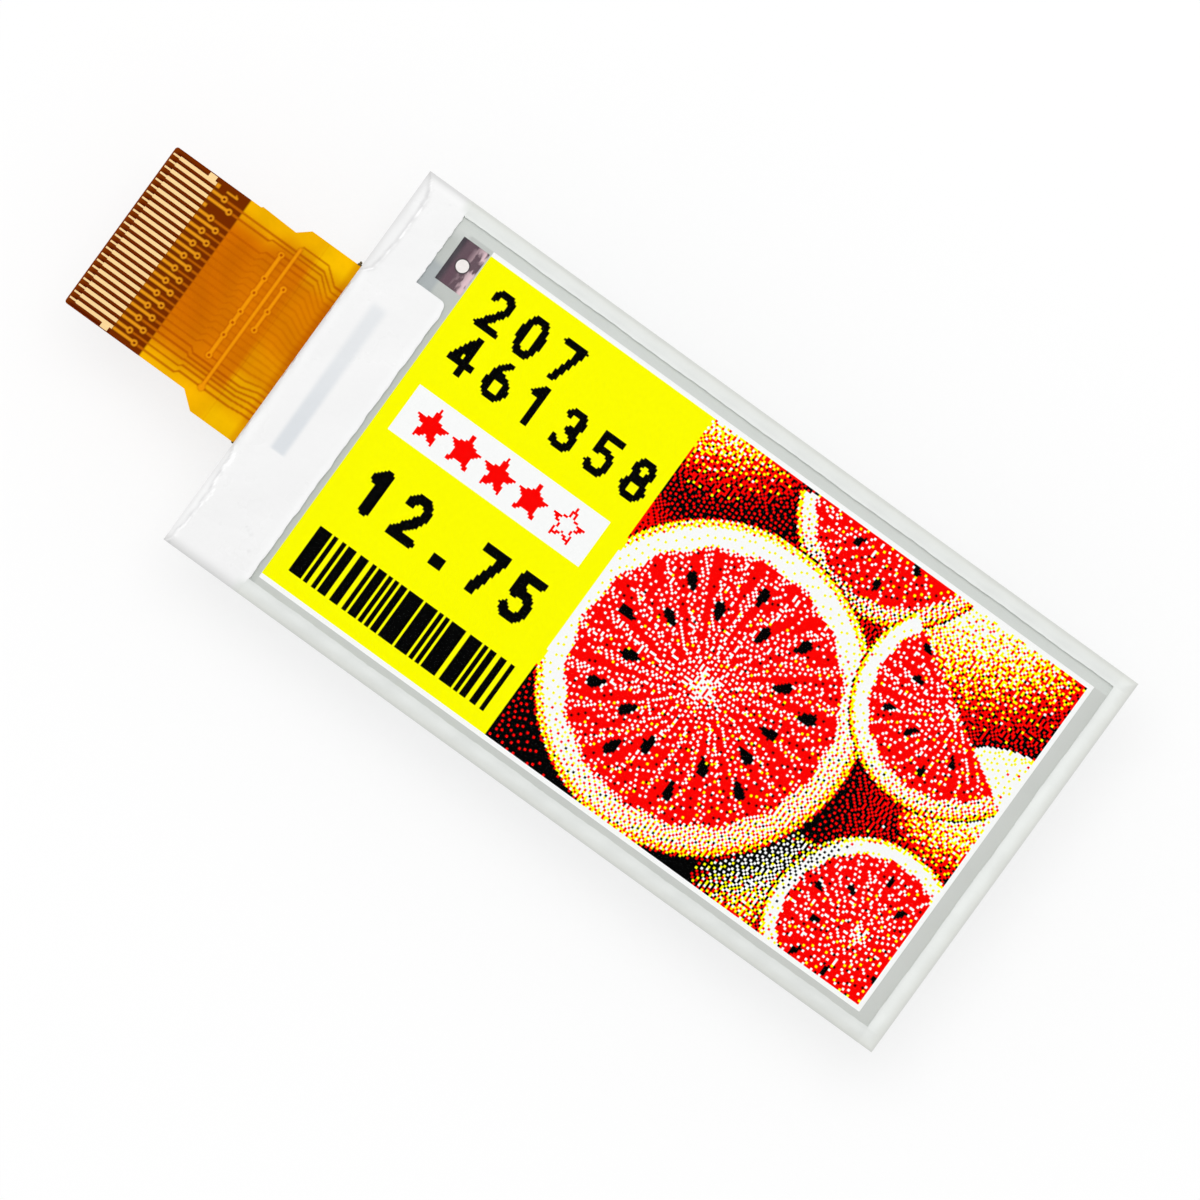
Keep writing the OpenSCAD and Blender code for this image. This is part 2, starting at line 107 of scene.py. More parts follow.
def smooth(low, high, value):
    """0 below low, 1 above high, and a smooth step between."""
    t = np.clip((value - low) / (high - low), 0, 1)
    return t * t * (3 - 2 * t)


def mixed(a, b, share):
    """Colours a and b, mixed point by point."""
    return a + (b - a) * share[..., None]


def wave(place, length, seed, size):
    """A slow irregular wave along a line, made of a few sines."""
    shifts = np.random.default_rng(seed).uniform(0, math.tau, 4)
    total = sum(
        math.sin(1.3 * n + seed) * np.sin(math.tau * place * n / length + shift) / n ** 0.4
        for n, shift in zip((1, 2.3, 4.1, 7.7), shifts)
    )
    return size * total


# Materials


class Shader:
    """A node material with helpers to add and join nodes."""

    def __init__(self, name):
        self.material = bpy.data.materials.new(name)
        self.material.use_nodes = True
        self.nodes = self.material.node_tree.nodes
        self.links = self.material.node_tree.links
        self.surface = self.nodes["Principled BSDF"]

    def node(self, kind, inputs=None, **settings):
        node = self.nodes.new(kind)
        for key, value in settings.items():
            setattr(node, key, value)
        for key, value in (inputs or {}).items():
            self.put(value, node.inputs[key])
        return node

    def put(self, value, socket):
        if isinstance(value, bpy.types.NodeSocket):
            self.links.new(value, socket)
        else:
            socket.default_value = value

    def set(self, **inputs):
        for key, value in inputs.items():
            self.put(value, self.surface.inputs[key.replace("_", " ")])
        return self

    def place(self, scale=(1, 1, 1)):
        """Place on the object in millimetres, stretched by scale."""
        coordinates = self.node("ShaderNodeTexCoord")
        mapping = self.node("ShaderNodeMapping", {"Vector": coordinates.outputs["Object"]})
        mapping.inputs["Scale"].default_value = [s / MM for s in scale]
        return mapping.outputs["Vector"]

    def noise(self, size, detail, roughness=0.55, scale=(1, 1, 1)):
        node = self.node(
            "ShaderNodeTexNoise",
            {"Vector": self.place(scale), "Scale": 1 / size, "Detail": detail,
             "Roughness": roughness},
        )
        return node.outputs["Fac"]

    def ramp(self, value, low, high, out_low=0.0, out_high=1.0):
        node = self.node(
            "ShaderNodeMapRange",
            {"Value": value, "From Min": low, "From Max": high, "To Min": out_low,
             "To Max": out_high},
        )
        return node.outputs["Result"]

    def mix(self, share, a, b, blend="MIX"):
        node = self.node("ShaderNodeMix", data_type="RGBA", blend_type=blend)
        self.put(share, node.inputs[0])
        for value, socket in ((a, node.inputs[6]), (b, node.inputs[7])):
            self.put(value if isinstance(value, bpy.types.NodeSocket) else (*value, 1), socket)
        return node.outputs[2]

    def tint(self):
        """The colours that the mesh carries."""
        return self.node("ShaderNodeVertexColor", layer_name="tint").outputs["Color"]

    def bump(self, height, distance, strength):
        node = self.node(
            "ShaderNodeBump",
            {"Height": height, "Distance": distance * MM, "Strength": strength},
        )
        self.set(Normal=node.outputs["Normal"])
        return self

    def varied(self, colour, value, amount):
        """Colour made lighter and darker by a value about one half."""
        return self.mix(
            1.0, colour, self.node(
                "ShaderNodeCombineColor",
                {k: self.ramp(value, 0.25, 0.75, 1 - amount, 1 + amount)
                 for k in ("Red", "Green", "Blue")},
            ).outputs["Color"], "MULTIPLY",
        )


def film_material(name, roughness):
    """Polyimide film that takes its colour from the mesh."""
    s = Shader(name)
    fine = s.noise(0.35, 4)
    long = s.noise(1.6, 2, 0.5, (0.35, 1, 1))
    s.set(Base_Color=s.varied(s.varied(s.tint(), fine, 0.03), long, 0.04))
    s.set(Roughness=s.ramp(fine, 0.3, 0.7, roughness - 0.06, roughness + 0.06))
    s.surface.inputs["Specular IOR Level"].default_value = 0.015
    s.surface.inputs["Specular Tint"].default_value = (1.0, 0.5, 0.02, 1)
    return s.bump(long, 0.012, 0.5).material


def sealant_material(name, roughness, grain, depth):
    """Cured silicone that takes its colour from the mesh."""
    s = Shader(name)
    cloud = s.noise(2.6, 3)
    fine = s.noise(0.28, 4)
    s.set(Base_Color=s.varied(s.varied(s.tint(), cloud, grain), fine, grain * 0.4))
    s.set(Roughness=s.ramp(cloud, 0.3, 0.7, roughness - 0.05, roughness + 0.08))
    s.surface.inputs["Specular IOR Level"].default_value = 0.4
    return s.bump(cloud, depth, 0.6).material


def plain_material(name, colour, roughness, metallic=0.0, size=0.4, amount=0.06,
                   bump=0.004, scale=(1, 1, 1)):
    """One colour with grain at the given size."""
    s = Shader(name)
    grain = s.noise(size, 4, 0.6, scale)
    s.set(Base_Color=s.varied(linear(*colour), grain, amount))
    s.set(Roughness=s.ramp(grain, 0.3, 0.7, roughness - 0.05, roughness + 0.07))
    s.surface.inputs["Metallic"].default_value = metallic
    s.surface.inputs["Specular IOR Level"].default_value = 0.4
    return s.bump(grain, bump, 0.5).material


# Meshes

SHARP_ANGLE = math.radians(35)


def mesh_piece(name, points, faces, material, body, tint=None, corner_tint=None):
    """A mesh object in the frame, from points in millimetres, that rides on a body."""
    mesh = bpy.data.meshes.new(name)
    mesh.from_pydata((np.asarray(points) * MM).tolist(), [], [list(f) for f in faces])
    mesh.validate()
    if tint is not None:
        layer = mesh.color_attributes.new("tint", "FLOAT_COLOR", "POINT")
        rows = np.ones((len(points), 4), np.float32)
        rows[:, :3] = tint
        layer.data.foreach_set("color", rows.ravel())
    if corner_tint is not None:
        layer = mesh.color_attributes.new("tint", "FLOAT_COLOR", "CORNER")
        rows = np.ones((len(mesh.loops), 4), np.float32)
        rows[:, :3] = corner_tint
        layer.data.foreach_set("color", rows.ravel())
    mesh.shade_smooth()
    mesh.set_sharp_from_angle(angle=SHARP_ANGLE)
    mesh.materials.append(material)
    piece = bpy.data.objects.new(name, mesh)
    bpy.context.scene.collection.objects.link(piece)
    if body:
        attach(piece, body)
    return piece


def plate(name, xs, ys, keep, top, low, material, body, warp=None, tint=None):
    """Closed solid over the kept cells of a grid. keep says which cells, from their middles;
    warp moves the grid's points; top, low and tint give heights and colours there."""
    middle_x, middle_y = (xs[:-1] + xs[1:]) / 2, (ys[:-1] + ys[1:]) / 2
    kept = np.broadcast_to(
        keep(*np.meshgrid(middle_x, middle_y, indexing="ij")),
        (len(middle_x), len(middle_y)),
    )
    x, y = np.meshgrid(xs, ys, indexing="ij")
    if warp:
        x, y = warp(x, y)
    used = np.zeros(x.shape, bool)
    for di in (0, 1):
        for dj in (0, 1):
            used[di:di + kept.shape[0], dj:dj + kept.shape[1]] |= kept
    index = np.cumsum(used.ravel()).reshape(x.shape) - 1
    count = int(used.sum())
    x, y = x[used], y[used]
    high, under = top(x, y) + 0 * x, low(x, y) + 0 * x
    points = np.concatenate([np.stack([x, y, high], 1), np.stack([x, y, under], 1)])
    i, j = np.nonzero(kept)
    ring = np.stack([index[i, j], index[i + 1, j], index[i + 1, j + 1], index[i, j + 1]], 1)
    faces = [ring, ring[:, ::-1] + count]
    padded = np.pad(kept, 1)
    for axis, near, far in ((0, (0, 0), (1, 0)), (1, (0, 0), (0, 1))):
        # walls along the edges that run from near to far, with one kept cell beside them
        before = padded[1:-1, :-1] if axis == 0 else padded[:-1, 1:-1]
        after = padded[1:-1, 1:] if axis == 0 else padded[1:, 1:-1]
        for here, there, turn in ((after, before, axis == 1), (before, after, axis == 0)):
            i, j = np.nonzero(here & ~there)
            a, b = index[i + near[0], j + near[1]], index[i + far[0], j + far[1]]
            wall = np.stack([a + count, b + count, b, a], 1)
            faces.append(wall[:, ::-1] if turn else wall)
    colours = None
    if tint is not None:
        here = tint(x, y)
        colours = np.concatenate([here, here])
    return mesh_piece(name, points, np.concatenate(faces).tolist(), material, body, colours)


def everywhere(x, y):
    """Keeps every cell of a grid."""
    return True


def lines(*stops, step):
    """Grid lines at all the stops, with about one step between lines."""
    parts = [
        np.linspace(a, b, max(2, math.ceil((b - a) / step) + 1))[:-1]
        for a, b in zip(stops, stops[1:])
    ]
    return np.concatenate([*parts, [stops[-1]]])


# Picture on the display

BLACK, WHITE, YELLOW, RED = range(4)
INKS = np.array([[0, 0, 0], [1, 1, 1], [1, 1, 0], [1, 0, 0]], float)
PANEL_COLUMNS = 110
RING = 2


def arc(cx, cy, rx, ry, start, end):
    """Points of an elliptic stroke in a digit's unit box."""
    a = np.radians(np.linspace(start, end, 90))
    return np.stack([cx + rx * np.cos(a), cy + ry * np.sin(a)], 1)


def stroke(*points):
    """Points along straight strokes in a digit's unit box."""
    pairs = zip(points, points[1:])
    return np.concatenate([np.linspace(a, b, 60) for a, b in pairs])


SIX = [arc(0.5, 0.3, 0.36, 0.26, 0, 360), arc(0.76, 0.32, 0.62, 0.62, 112, 182)]
DIGITS = {
    "0": [arc(0.5, 0.5, 0.37, 0.46, 0, 360)],
    "1": [stroke((0.24, 0.76), (0.54, 0.96), (0.54, 0.04))],
    "2": [arc(0.49, 0.71, 0.34, 0.25, 165, -38), stroke((0.76, 0.55), (0.14, 0.04), (0.88, 0.04))],
    "3": [arc(0.47, 0.73, 0.31, 0.23, 150, -90), arc(0.47, 0.27, 0.36, 0.23, 90, -150)],
    "4": [stroke((0.64, 0.04), (0.64, 0.96), (0.1, 0.28), (0.92, 0.28))],
    "5": [stroke((0.82, 0.96), (0.22, 0.96), (0.2, 0.54)), arc(0.46, 0.32, 0.38, 0.28, 132, -150)],
    "6": SIX,
    "7": [stroke((0.14, 0.96), (0.86, 0.96), (0.4, 0.04))],
    "8": [arc(0.5, 0.74, 0.29, 0.22, 0, 360), arc(0.5, 0.27, 0.36, 0.23, 0, 360)],
    "9": [1 - s for s in SIX],
    ".": [stroke((0.42, 0.05), (0.58, 0.05)), stroke((0.42, 0.12), (0.58, 0.12))],
}


def write_number(canvas, text, left, low, width, height, advance, pen):
    """Draws digits in black with a round pen of so many pixels."""
    x, y = np.meshgrid(np.arange(width + 2) + 0.5, np.arange(height + 2) + 0.5, indexing="ij")
    for place, digit in enumerate(text):
        points = np.concatenate(DIGITS[digit]) * [width - pen, height - pen] + pen / 2 + 1
        gap = np.hypot(x[..., None] - points[:, 0], y[..., None] - points[:, 1]).min(-1)
        start = left + place * advance
        cell = canvas[start - 1:start + width + 1, low - 1:low + height + 1]
        cell[gap < pen / 2 + 0.15] = BLACK


def star(cx, cy, radius):
    """Which pixels lie in a five-pointed star."""
    x, y = np.meshgrid(np.arange(COLUMNS) + 0.5, np.arange(ROWS) + 0.5, indexing="ij")
    angle = np.arctan2(x - cx, y - cy)
    turned = np.abs((angle + math.pi / 5) % (math.tau / 5) - math.pi / 5)
    waist = 0.45
    # straight side from the tip, at angle 0, to the waist, at a tenth of a turn
    tip = math.sin(math.pi / 5) * waist
    edge = tip / (tip * np.cos(turned) + (1 - waist * math.cos(math.pi / 5)) * np.sin(turned))
    return np.hypot(x - cx, y - cy) < radius * edge


def bar_code(canvas, left, right, low, high):
    """Bars two to seven pixels wide, with gaps of one or two pixels."""
    x = left
    widths = np.random.default_rng(8).choice([2, 2, 2, 3, 4, 6, 7], 60)
    for place, width in enumerate(widths):
        if x + width > right:
            break
        if place % 2 == 0:
            canvas[x:x + width, low:high] = BLACK
            x += width
        else:
            x += 1 + int(width > 3)


def left_panel(canvas):
    """Yellow panel with numbers, rating stars and a bar code."""
    canvas[:PANEL_COLUMNS, RING:ROWS - RING] = YELLOW
    write_number(canvas, "207", 8, 131, 14, 20, 17, 3)
    write_number(canvas, "461358", 8, 110, 14, 20, 17, 3)
    canvas[7:101, 78:100] = WHITE
    for place, column in enumerate((20.5, 37.0, 53.5, 70.0, 87.5)):
        filled = star(column, 88.5, 8.6)
        if place == 4:
            filled &= ~star(column, 88.5, 6.0)
        canvas[filled] = RED
    write_number(canvas, "12.75", 10, 43, 16, 23, 18, 4)
    bar_code(canvas, 8, 105, 9, 31)


def slice_colours(dx, dy, radius, light, seeds, grain, rng):
    """Face of a cut melon: seeded flesh, pale ring and thin rind."""
    r, angle = np.hypot(dx, dy) / radius, np.arctan2(dy, dx)
    fibre = np.sin(angle * 9 + 5 * np.sin(3 * r)) * np.sin(angle * 31 + 9 * r)
    pulp = 0.3 + 0.3 * fibre + 0.5 * grain * (0.5 + 0.5 * np.sin(angle * 14)) - 0.25 * r
    core = 0.75 * (1 - smooth(0.02, 0.13, r + 0.03 * np.sin(angle * 5)))
    pulp = np.clip(pulp + core, -0.25, 0.95)
    flesh = np.array([1.0, 0.02, 0.02]) + np.clip(pulp, 0, 1)[..., None] * [0.0, 0.9, 0.85]
    flesh = flesh * (1 + 0.35 * np.minimum(pulp, 0))[..., None]
    pale, rind, skin = np.array([[1.0, 1.0, 0.92], [1.0, 0.82, 0.25], [0.5, 0.12, 0.0]])
    colour = mixed(flesh, pale, smooth(0.79, 0.84, r + 0.012 * np.sin(angle * 17)))
    colour = mixed(colour, rind, smooth(0.93, 0.96, r))
    colour = mixed(colour, skin, smooth(0.975, 1.0, r))
    side = np.clip(light * (0.95 + 0.2 * (dy - dx) / radius), 0, 1)
    colour = colour * np.stack([side ** 0.12, side, side ** 1.8], -1)
    for n in range(seeds):
        ring = 0.46 + 0.17 * (n % 2)
        turn = math.tau * n / seeds + rng.uniform(-0.07, 0.07)
        u, v = dx / radius - ring * math.cos(turn), dy / radius - ring * math.sin(turn)
        along = u * math.cos(turn) + v * math.sin(turn)
        across = -u * math.sin(turn) + v * math.cos(turn)
        drop = (along / 0.062) ** 2 + (across / (0.03 + 0.25 * along)) ** 2
        colour[(drop < 1) & (np.abs(along) < 0.07)] = 0.0
    return colour


def fruit_scene(columns, rows):
    """Smooth picture of melons and their slices, before its colours are reduced."""
    x, y = np.meshgrid(np.arange(columns) + 0.5, np.arange(rows) + 0.5, indexing="ij")
    rng = np.random.default_rng(5)
    grain = rng.uniform(-1, 1, x.shape)
    shade = np.clip(0.12 + 1.1 * y / rows - 0.12 * x / columns, 0, 1)
    picture = np.array([1.0, 0.03, 0.02]) * shade[..., None]

    def darken(cx, cy, radius, amount):
        near = 1 - smooth(0.85, 1.25, np.hypot(x - cx - 5, y - cy + 8) / radius)
        picture[...] *= (1 - amount * near)[..., None]

    def whole(cx, cy, radius):
        """A whole pale melon, lit from the upper left."""
        darken(cx, cy, radius, 0.8)
        dx, dy = (x - cx) / radius, (y - cy) / radius
        depth = np.sqrt(np.clip(1 - dx ** 2 - dy ** 2, 0, 1))
        lit = np.clip(0.62 * depth + 0.5 * dy - 0.34 * dx + 0.16 * grain, 0, 1)
        tones = [(0.0, 0.3, 0.55, 0.8), (0.25, 0.85, 1.0, 1.0), (0.0, 0.1, 0.72, 1.0),
                 (0.0, 0.02, 0.2, 0.9)]
        skin = np.stack([np.interp(lit, tones[0], tone) for tone in tones[1:]], -1)
        inside = dx ** 2 + dy ** 2 < 1
        picture[inside] = skin[inside]

    def cut(cx, cy, radius, light, seeds, tilt=None):
        """A slice, or half of one where a tilt is given."""
        dx, dy = x - cx, y - cy
        inside = np.hypot(dx, dy) < radius
        if tilt is not None:
            inside &= dy * math.cos(tilt) - dx * math.sin(tilt) < 0
        else:
            darken(cx, cy, radius, 0.75)
        colour = slice_colours(dx, dy, radius, light, seeds, grain, rng)
        picture[inside] = colour[inside]

    whole(150, 148, 52)
    whole(16, 160, 40)
    whole(186, 84, 36)
    cut(86, 168, 44, 0.92, 9, 0.35)
    whole(128, 12, 30)
    cut(168, 22, 40, 0.9, 11)
    cut(60, 66, 68, 1.0, 19)
    cut(148, 118, 44, 1.0, 12, -0.55)
    return np.clip(picture, 0, 1)


def reduced(picture):
    """Four inks, with each pixel's error handed on to its neighbours."""
    columns, rows, _ = picture.shape
    work = np.pad(picture, ((1, 1), (0, 1), (0, 0))).astype(float)
    result = np.zeros((columns, rows), int)
    shares = ((1, 0, 7 / 16), (-1, 1, 3 / 16), (0, 1, 5 / 16), (1, 1, 1 / 16))
    for row in range(rows):
        for column in range(columns):
            value = work[column + 1, row]
            ink = int(((INKS - value) ** 2).sum(1).argmin())
            error = value - INKS[ink]
            result[column, row] = ink
            for dx, dy, share in shares:
                work[column + 1 + dx, row + dy] += error * share
    return result


def display_picture():
    canvas = np.full((COLUMNS, ROWS), WHITE)
    left_panel(canvas)
    columns, rows = COLUMNS - PANEL_COLUMNS - RING, ROWS - 2 * RING
    fruit = reduced(fruit_scene(columns, rows)[:, ::-1])[:, ::-1]
    canvas[PANEL_COLUMNS:COLUMNS - RING, RING:ROWS - RING] = fruit
    return canvas


def picture_material():
    """Ink cells: flat colour with the faint grain of the capsules."""
    s = Shader("ink_cells")
    s.set(Base_Color=s.varied(s.tint(), s.noise(0.07, 2), 0.035))
    s.set(Roughness=s.ramp(s.noise(0.12, 2), 0.3, 0.7, 0.75, 0.9))
    s.surface.inputs["Specular IOR Level"].default_value = 0.0
    return s.material


INK_LEVELS = linear(2, 2, 2, 250, 251, 250, 254, 253, 0, 253, 2, 0).reshape(4, 3)
PICTURE_THICKNESS = 0.005


def ink_picture():
    """The picture as a thin skin on the ink cells, one face for each pixel."""
    canvas = display_picture()
    x = PICTURE_LEFT + PITCH * np.arange(COLUMNS + 1)
    y = PICTURE_LOW + PITCH * np.arange(ROWS + 1)
    gx, gy = np.meshgrid(x, y, indexing="ij")
    top = INK_HIGH[2] + PICTURE_THICKNESS
    points = np.stack([gx.ravel(), gy.ravel(), np.full(gx.size, top)], 1)
    index = np.arange(gx.size).reshape(gx.shape)
    faces = np.stack([
        index[:-1, :-1], index[1:, :-1], index[1:, 1:], index[:-1, 1:]
    ], -1).reshape(-1, 4)
    rim = np.concatenate([index[:, 0], index[-1, 1:], index[-2::-1, -1], index[0, -2:0:-1]])
    under = np.arange(len(rim)) + len(points)
    low_points = points[rim] - [0, 0, PICTURE_THICKNESS]
    walls = np.stack([under, np.roll(under, -1), np.roll(rim, -1), rim], 1)
    colours = INK_LEVELS[canvas].reshape(-1, 3).repeat(4, 0)
    edge = np.tile(INK_LEVELS[WHITE], (4 * len(walls) + len(rim), 1))
    return mesh_piece(
        "ink_picture", np.concatenate([points, low_points]),
        faces.tolist() + walls.tolist() + [under[::-1].tolist()],
        picture_material(), "panel", corner_tint=np.concatenate([colours, edge]),
    )


# Front films, bead and coat

FILM_STEP = 0.1


def in_films(x, y):
    """Whether a place lies on the front films or their tab, apart from the tab's fillet."""
    film = (x > FILM_LEFT) & (x < INK_HIGH[0]) & (y > INK_LOW[1]) & (y < INK_HIGH[1])
    tab = (x > TAB_LEFT) & (x < FILM_LEFT + FILM_STEP) & (y > TAB_LOW) & (y < INK_HIGH[1])
    return film | tab


def rim_lines():
    """Grid lines over the whole glass that follow the films' outline."""
    xs = lines(GLASS_LOW[0], TAB_LEFT, FILM_LEFT - TAB_RADIUS, FILM_LEFT, INK_HIGH[0],
               GLASS_HIGH[0], step=FILM_STEP)
    ys = lines(GLASS_LOW[1], INK_LOW[1], TAB_LOW - TAB_RADIUS, TAB_LOW, INK_HIGH[1],
               GLASS_HIGH[1], step=FILM_STEP)
    return xs, ys


def rounded_corner(x, y):
    """Bends the square below the tab into a quarter disc, the coat's rounded corner."""
    cx, cy = FILM_LEFT - TAB_RADIUS, TAB_LOW - TAB_RADIUS
    u, v = (x - cx) / TAB_RADIUS, (y - cy) / TAB_RADIUS
    inside = (u > 0) & (v > 0) & (u < 1.001) & (v < 1.001)
    bent_u = np.where(inside, u * np.sqrt(1 - np.clip(v, 0, 1) ** 2 / 2), u)
    bent_v = np.where(inside, v * np.sqrt(1 - np.clip(u, 0, 1) ** 2 / 2), v)
    return cx + bent_u * TAB_RADIUS, cy + bent_v * TAB_RADIUS


def wavy_rim(x, y):
    """Rounds the corner and lets the sealant's inner edge creep a little over the films."""
    x, y = rounded_corner(x, y)
    reach = 0.35
    side = 0.035 + wave(y, 9, 3, 0.022)
    left = 0.07 + wave(y, 7, 5, 0.035)
    across = 0.03 + wave(x, 8, 4, 0.02)
    moved_x = x - side * (1 - smooth(0, reach, x - INK_HIGH[0])) * (x > INK_HIGH[0] - 0.01)
    near_left = (1 - smooth(0, reach, FILM_LEFT - x)) * (x < FILM_LEFT + 0.01)
    below = 1 - smooth(TAB_LOW - 2 * TAB_RADIUS, TAB_LOW - TAB_RADIUS, y)
    tab = (1 - smooth(0, reach, TAB_LEFT - x)) * (x < TAB_LEFT + 0.01)
    bumps = 0.02 + wave(y, 2.4, 8, 0.03)
    moved_x = moved_x + bumps * tab * smooth(TAB_LOW, TAB_LOW + 0.4, y)
    moved_x = moved_x + left * near_left * below * smooth(INK_LOW[1] - 0.2, INK_LOW[1] + 0.3, y)
    top_edge = (1 - smooth(0, reach, y - INK_HIGH[1])) * (y > INK_HIGH[1] - 0.01)
    low_edge = (1 - smooth(0, reach, INK_LOW[1] - y)) * (y < INK_LOW[1] + 0.01)
    return moved_x, y - across * top_edge * (x > TAB_LEFT) + across * low_edge


EDGE_RISE = 0.2
RIM_RISE = 0.4
RIM_SLOPE = 0.85


def rim_height(distance):
    """Height of the sealant above the glass, by distance from the glass's edge."""
    share = np.clip(1 - distance / RIM_SLOPE, 0, 1)
    return EDGE_RISE + (RIM_RISE - EDGE_RISE) * np.sqrt(1 - share ** 2)


def bead_keep(x, y):
    past_ledge = (x > TAB_LEFT) & (y > INK_HIGH[1]) | (x > FILM_LEFT) & (y < INK_LOW[1])
    return past_ledge | (x > INK_HIGH[0])


def bead_top(x, y):
    """A low crest with a slope outside and a slight rise where it wets the films."""
    outer = np.minimum.reduce([GLASS_HIGH[0] - x, GLASS_HIGH[1] - y, y - GLASS_LOW[1]])
    inner = np.maximum.reduce([x - INK_HIGH[0], y - INK_HIGH[1], INK_LOW[1] - y])
    wet = 0.02 * (1 - smooth(-0.05, 0.22, inner))
    ripple = 0.012 * np.sin(x * 2.1 + 3 * np.sin(y * 0.7)) * smooth(0.1, 0.6, outer)
    return GLASS_HIGH[2] + rim_height(outer) + wet - 0.012 + ripple


BEAD_INNER = linear(223, 226, 223)
# The outer bead tint is painted shade for the slope that falls away from the light.
BEAD_OUTER_SHADED = linear(214, 216, 211)
COAT_WHITE = linear(233, 233, 233)
COAT_EDGE = linear(229, 229, 229)
COAT_EDGE_LOW = linear(238, 238, 238)
CHIP_SHADE = linear(208, 212, 216)


def bead_tint(x, y):
    outer = np.minimum.reduce([GLASS_HIGH[0] - x, GLASS_HIGH[1] - y, y - GLASS_LOW[1]])
    # Painted shade: the outer slope is tinted darker than the crest.
    slope = 1 - smooth(0.1, 0.75, outer + 0.05 * np.sin(x * 3.1) * np.cos(y * 2.3))
    tint = mixed(BEAD_INNER, BEAD_OUTER_SHADED, slope)
    # Painted shade and light: the top and bottom beads are darker and the right bead lighter, for
    # how the lamp falls on each side.
    top = smooth(INK_HIGH[1], INK_HIGH[1] + 0.1, y)
    tint = tint * (1 - 0.07 * top * (1 - slope))[..., None]
    tint = tint * (1 - 0.045 * (y < INK_LOW[1]) * (1 - slope) * smooth(0.2, 0.5, outer))[..., None]
    return tint * (1 + 0.05 * smooth(INK_HIGH[0], INK_HIGH[0] + 0.1, x))[..., None]


# Ridge that the coat's meniscus left along the ledge: its x by y, from the bottom up
RIDGE_Y = (-14.8, -14.4, -13.5, -12.6, -11.5, -10.4, -9.3, -8.0, -7.3, -6.9, 6.8, 7.0, 7.5, 8.5,
           9.0, 11.0, 12.0, 13.2, 13.8, 14.3, 14.8)
RIDGE_X = (-28.3, -28.1, -27.9, -27.86, -27.8, -27.86, -27.95, -28.0, -28.2, -28.4, -28.4, -28.15,
           -27.75, -27.6, -27.57, -27.45, -27.45, -27.5, -27.7, -28.05, -28.35)


def ridge_x(y):
    """The ridge's x, with its small wanderings."""
    return np.interp(y, RIDGE_Y, RIDGE_X) + wave(y, 5.2, 9, 0.035) + wave(y, 1.3, 12, 0.018)


def coat_keep(x, y):
    return (x < FILM_LEFT) & ((x < TAB_LEFT) | (y < TAB_LOW))


def coat_top(x, y):
    """The coat's crown, its ridge along the edge and the thin strip outside the ridge."""
    ends = np.minimum(GLASS_HIGH[1] - y, y - GLASS_LOW[1])
    outer = np.minimum(ends, x - GLASS_LOW[0])
    height = GLASS_HIGH[2] + rim_height(outer) - 0.03
    ridge = x - ridge_x(y)
    height -= 0.07 * (1 - smooth(-0.28, 0.02, ridge)) * smooth(0.05, 0.3, ends)
    crest = np.exp(-(ridge / 0.06) ** 2) * (0.55 + 0.45 * np.sin(y * 5.3) * np.sin(y * 1.9))
    height += 0.06 * crest * smooth(0.1, 0.5, ends)
    wet = 1 - smooth(0.0, 0.5, FILM_LEFT + 0.1 - x)
    height += 0.03 * wet * (y < TAB_LOW) * smooth(0.2, 0.8, ends)
    height += 0.012 * np.sin(x * 1.1 + 2) * np.sin(y * 0.9) + 0.006 * np.sin(x * 3.3 + y * 2.1)
    return np.minimum(height, FRONT_TOP - 0.01)


# Faint scuffs and specks in the coat: their x, y, radius and depth
SCUFFS = ((-24.55, -10.95, 0.12, 0.5), (-24.3, -11.05, 0.2, 0.25), (-24.0, -11.2, 0.22, 0.3),
          (-23.5, -12.15, 0.18, 0.35), (-28.05, -14.72, 0.16, 1.0), (-26.1, 13.75, 0.14, 0.3))


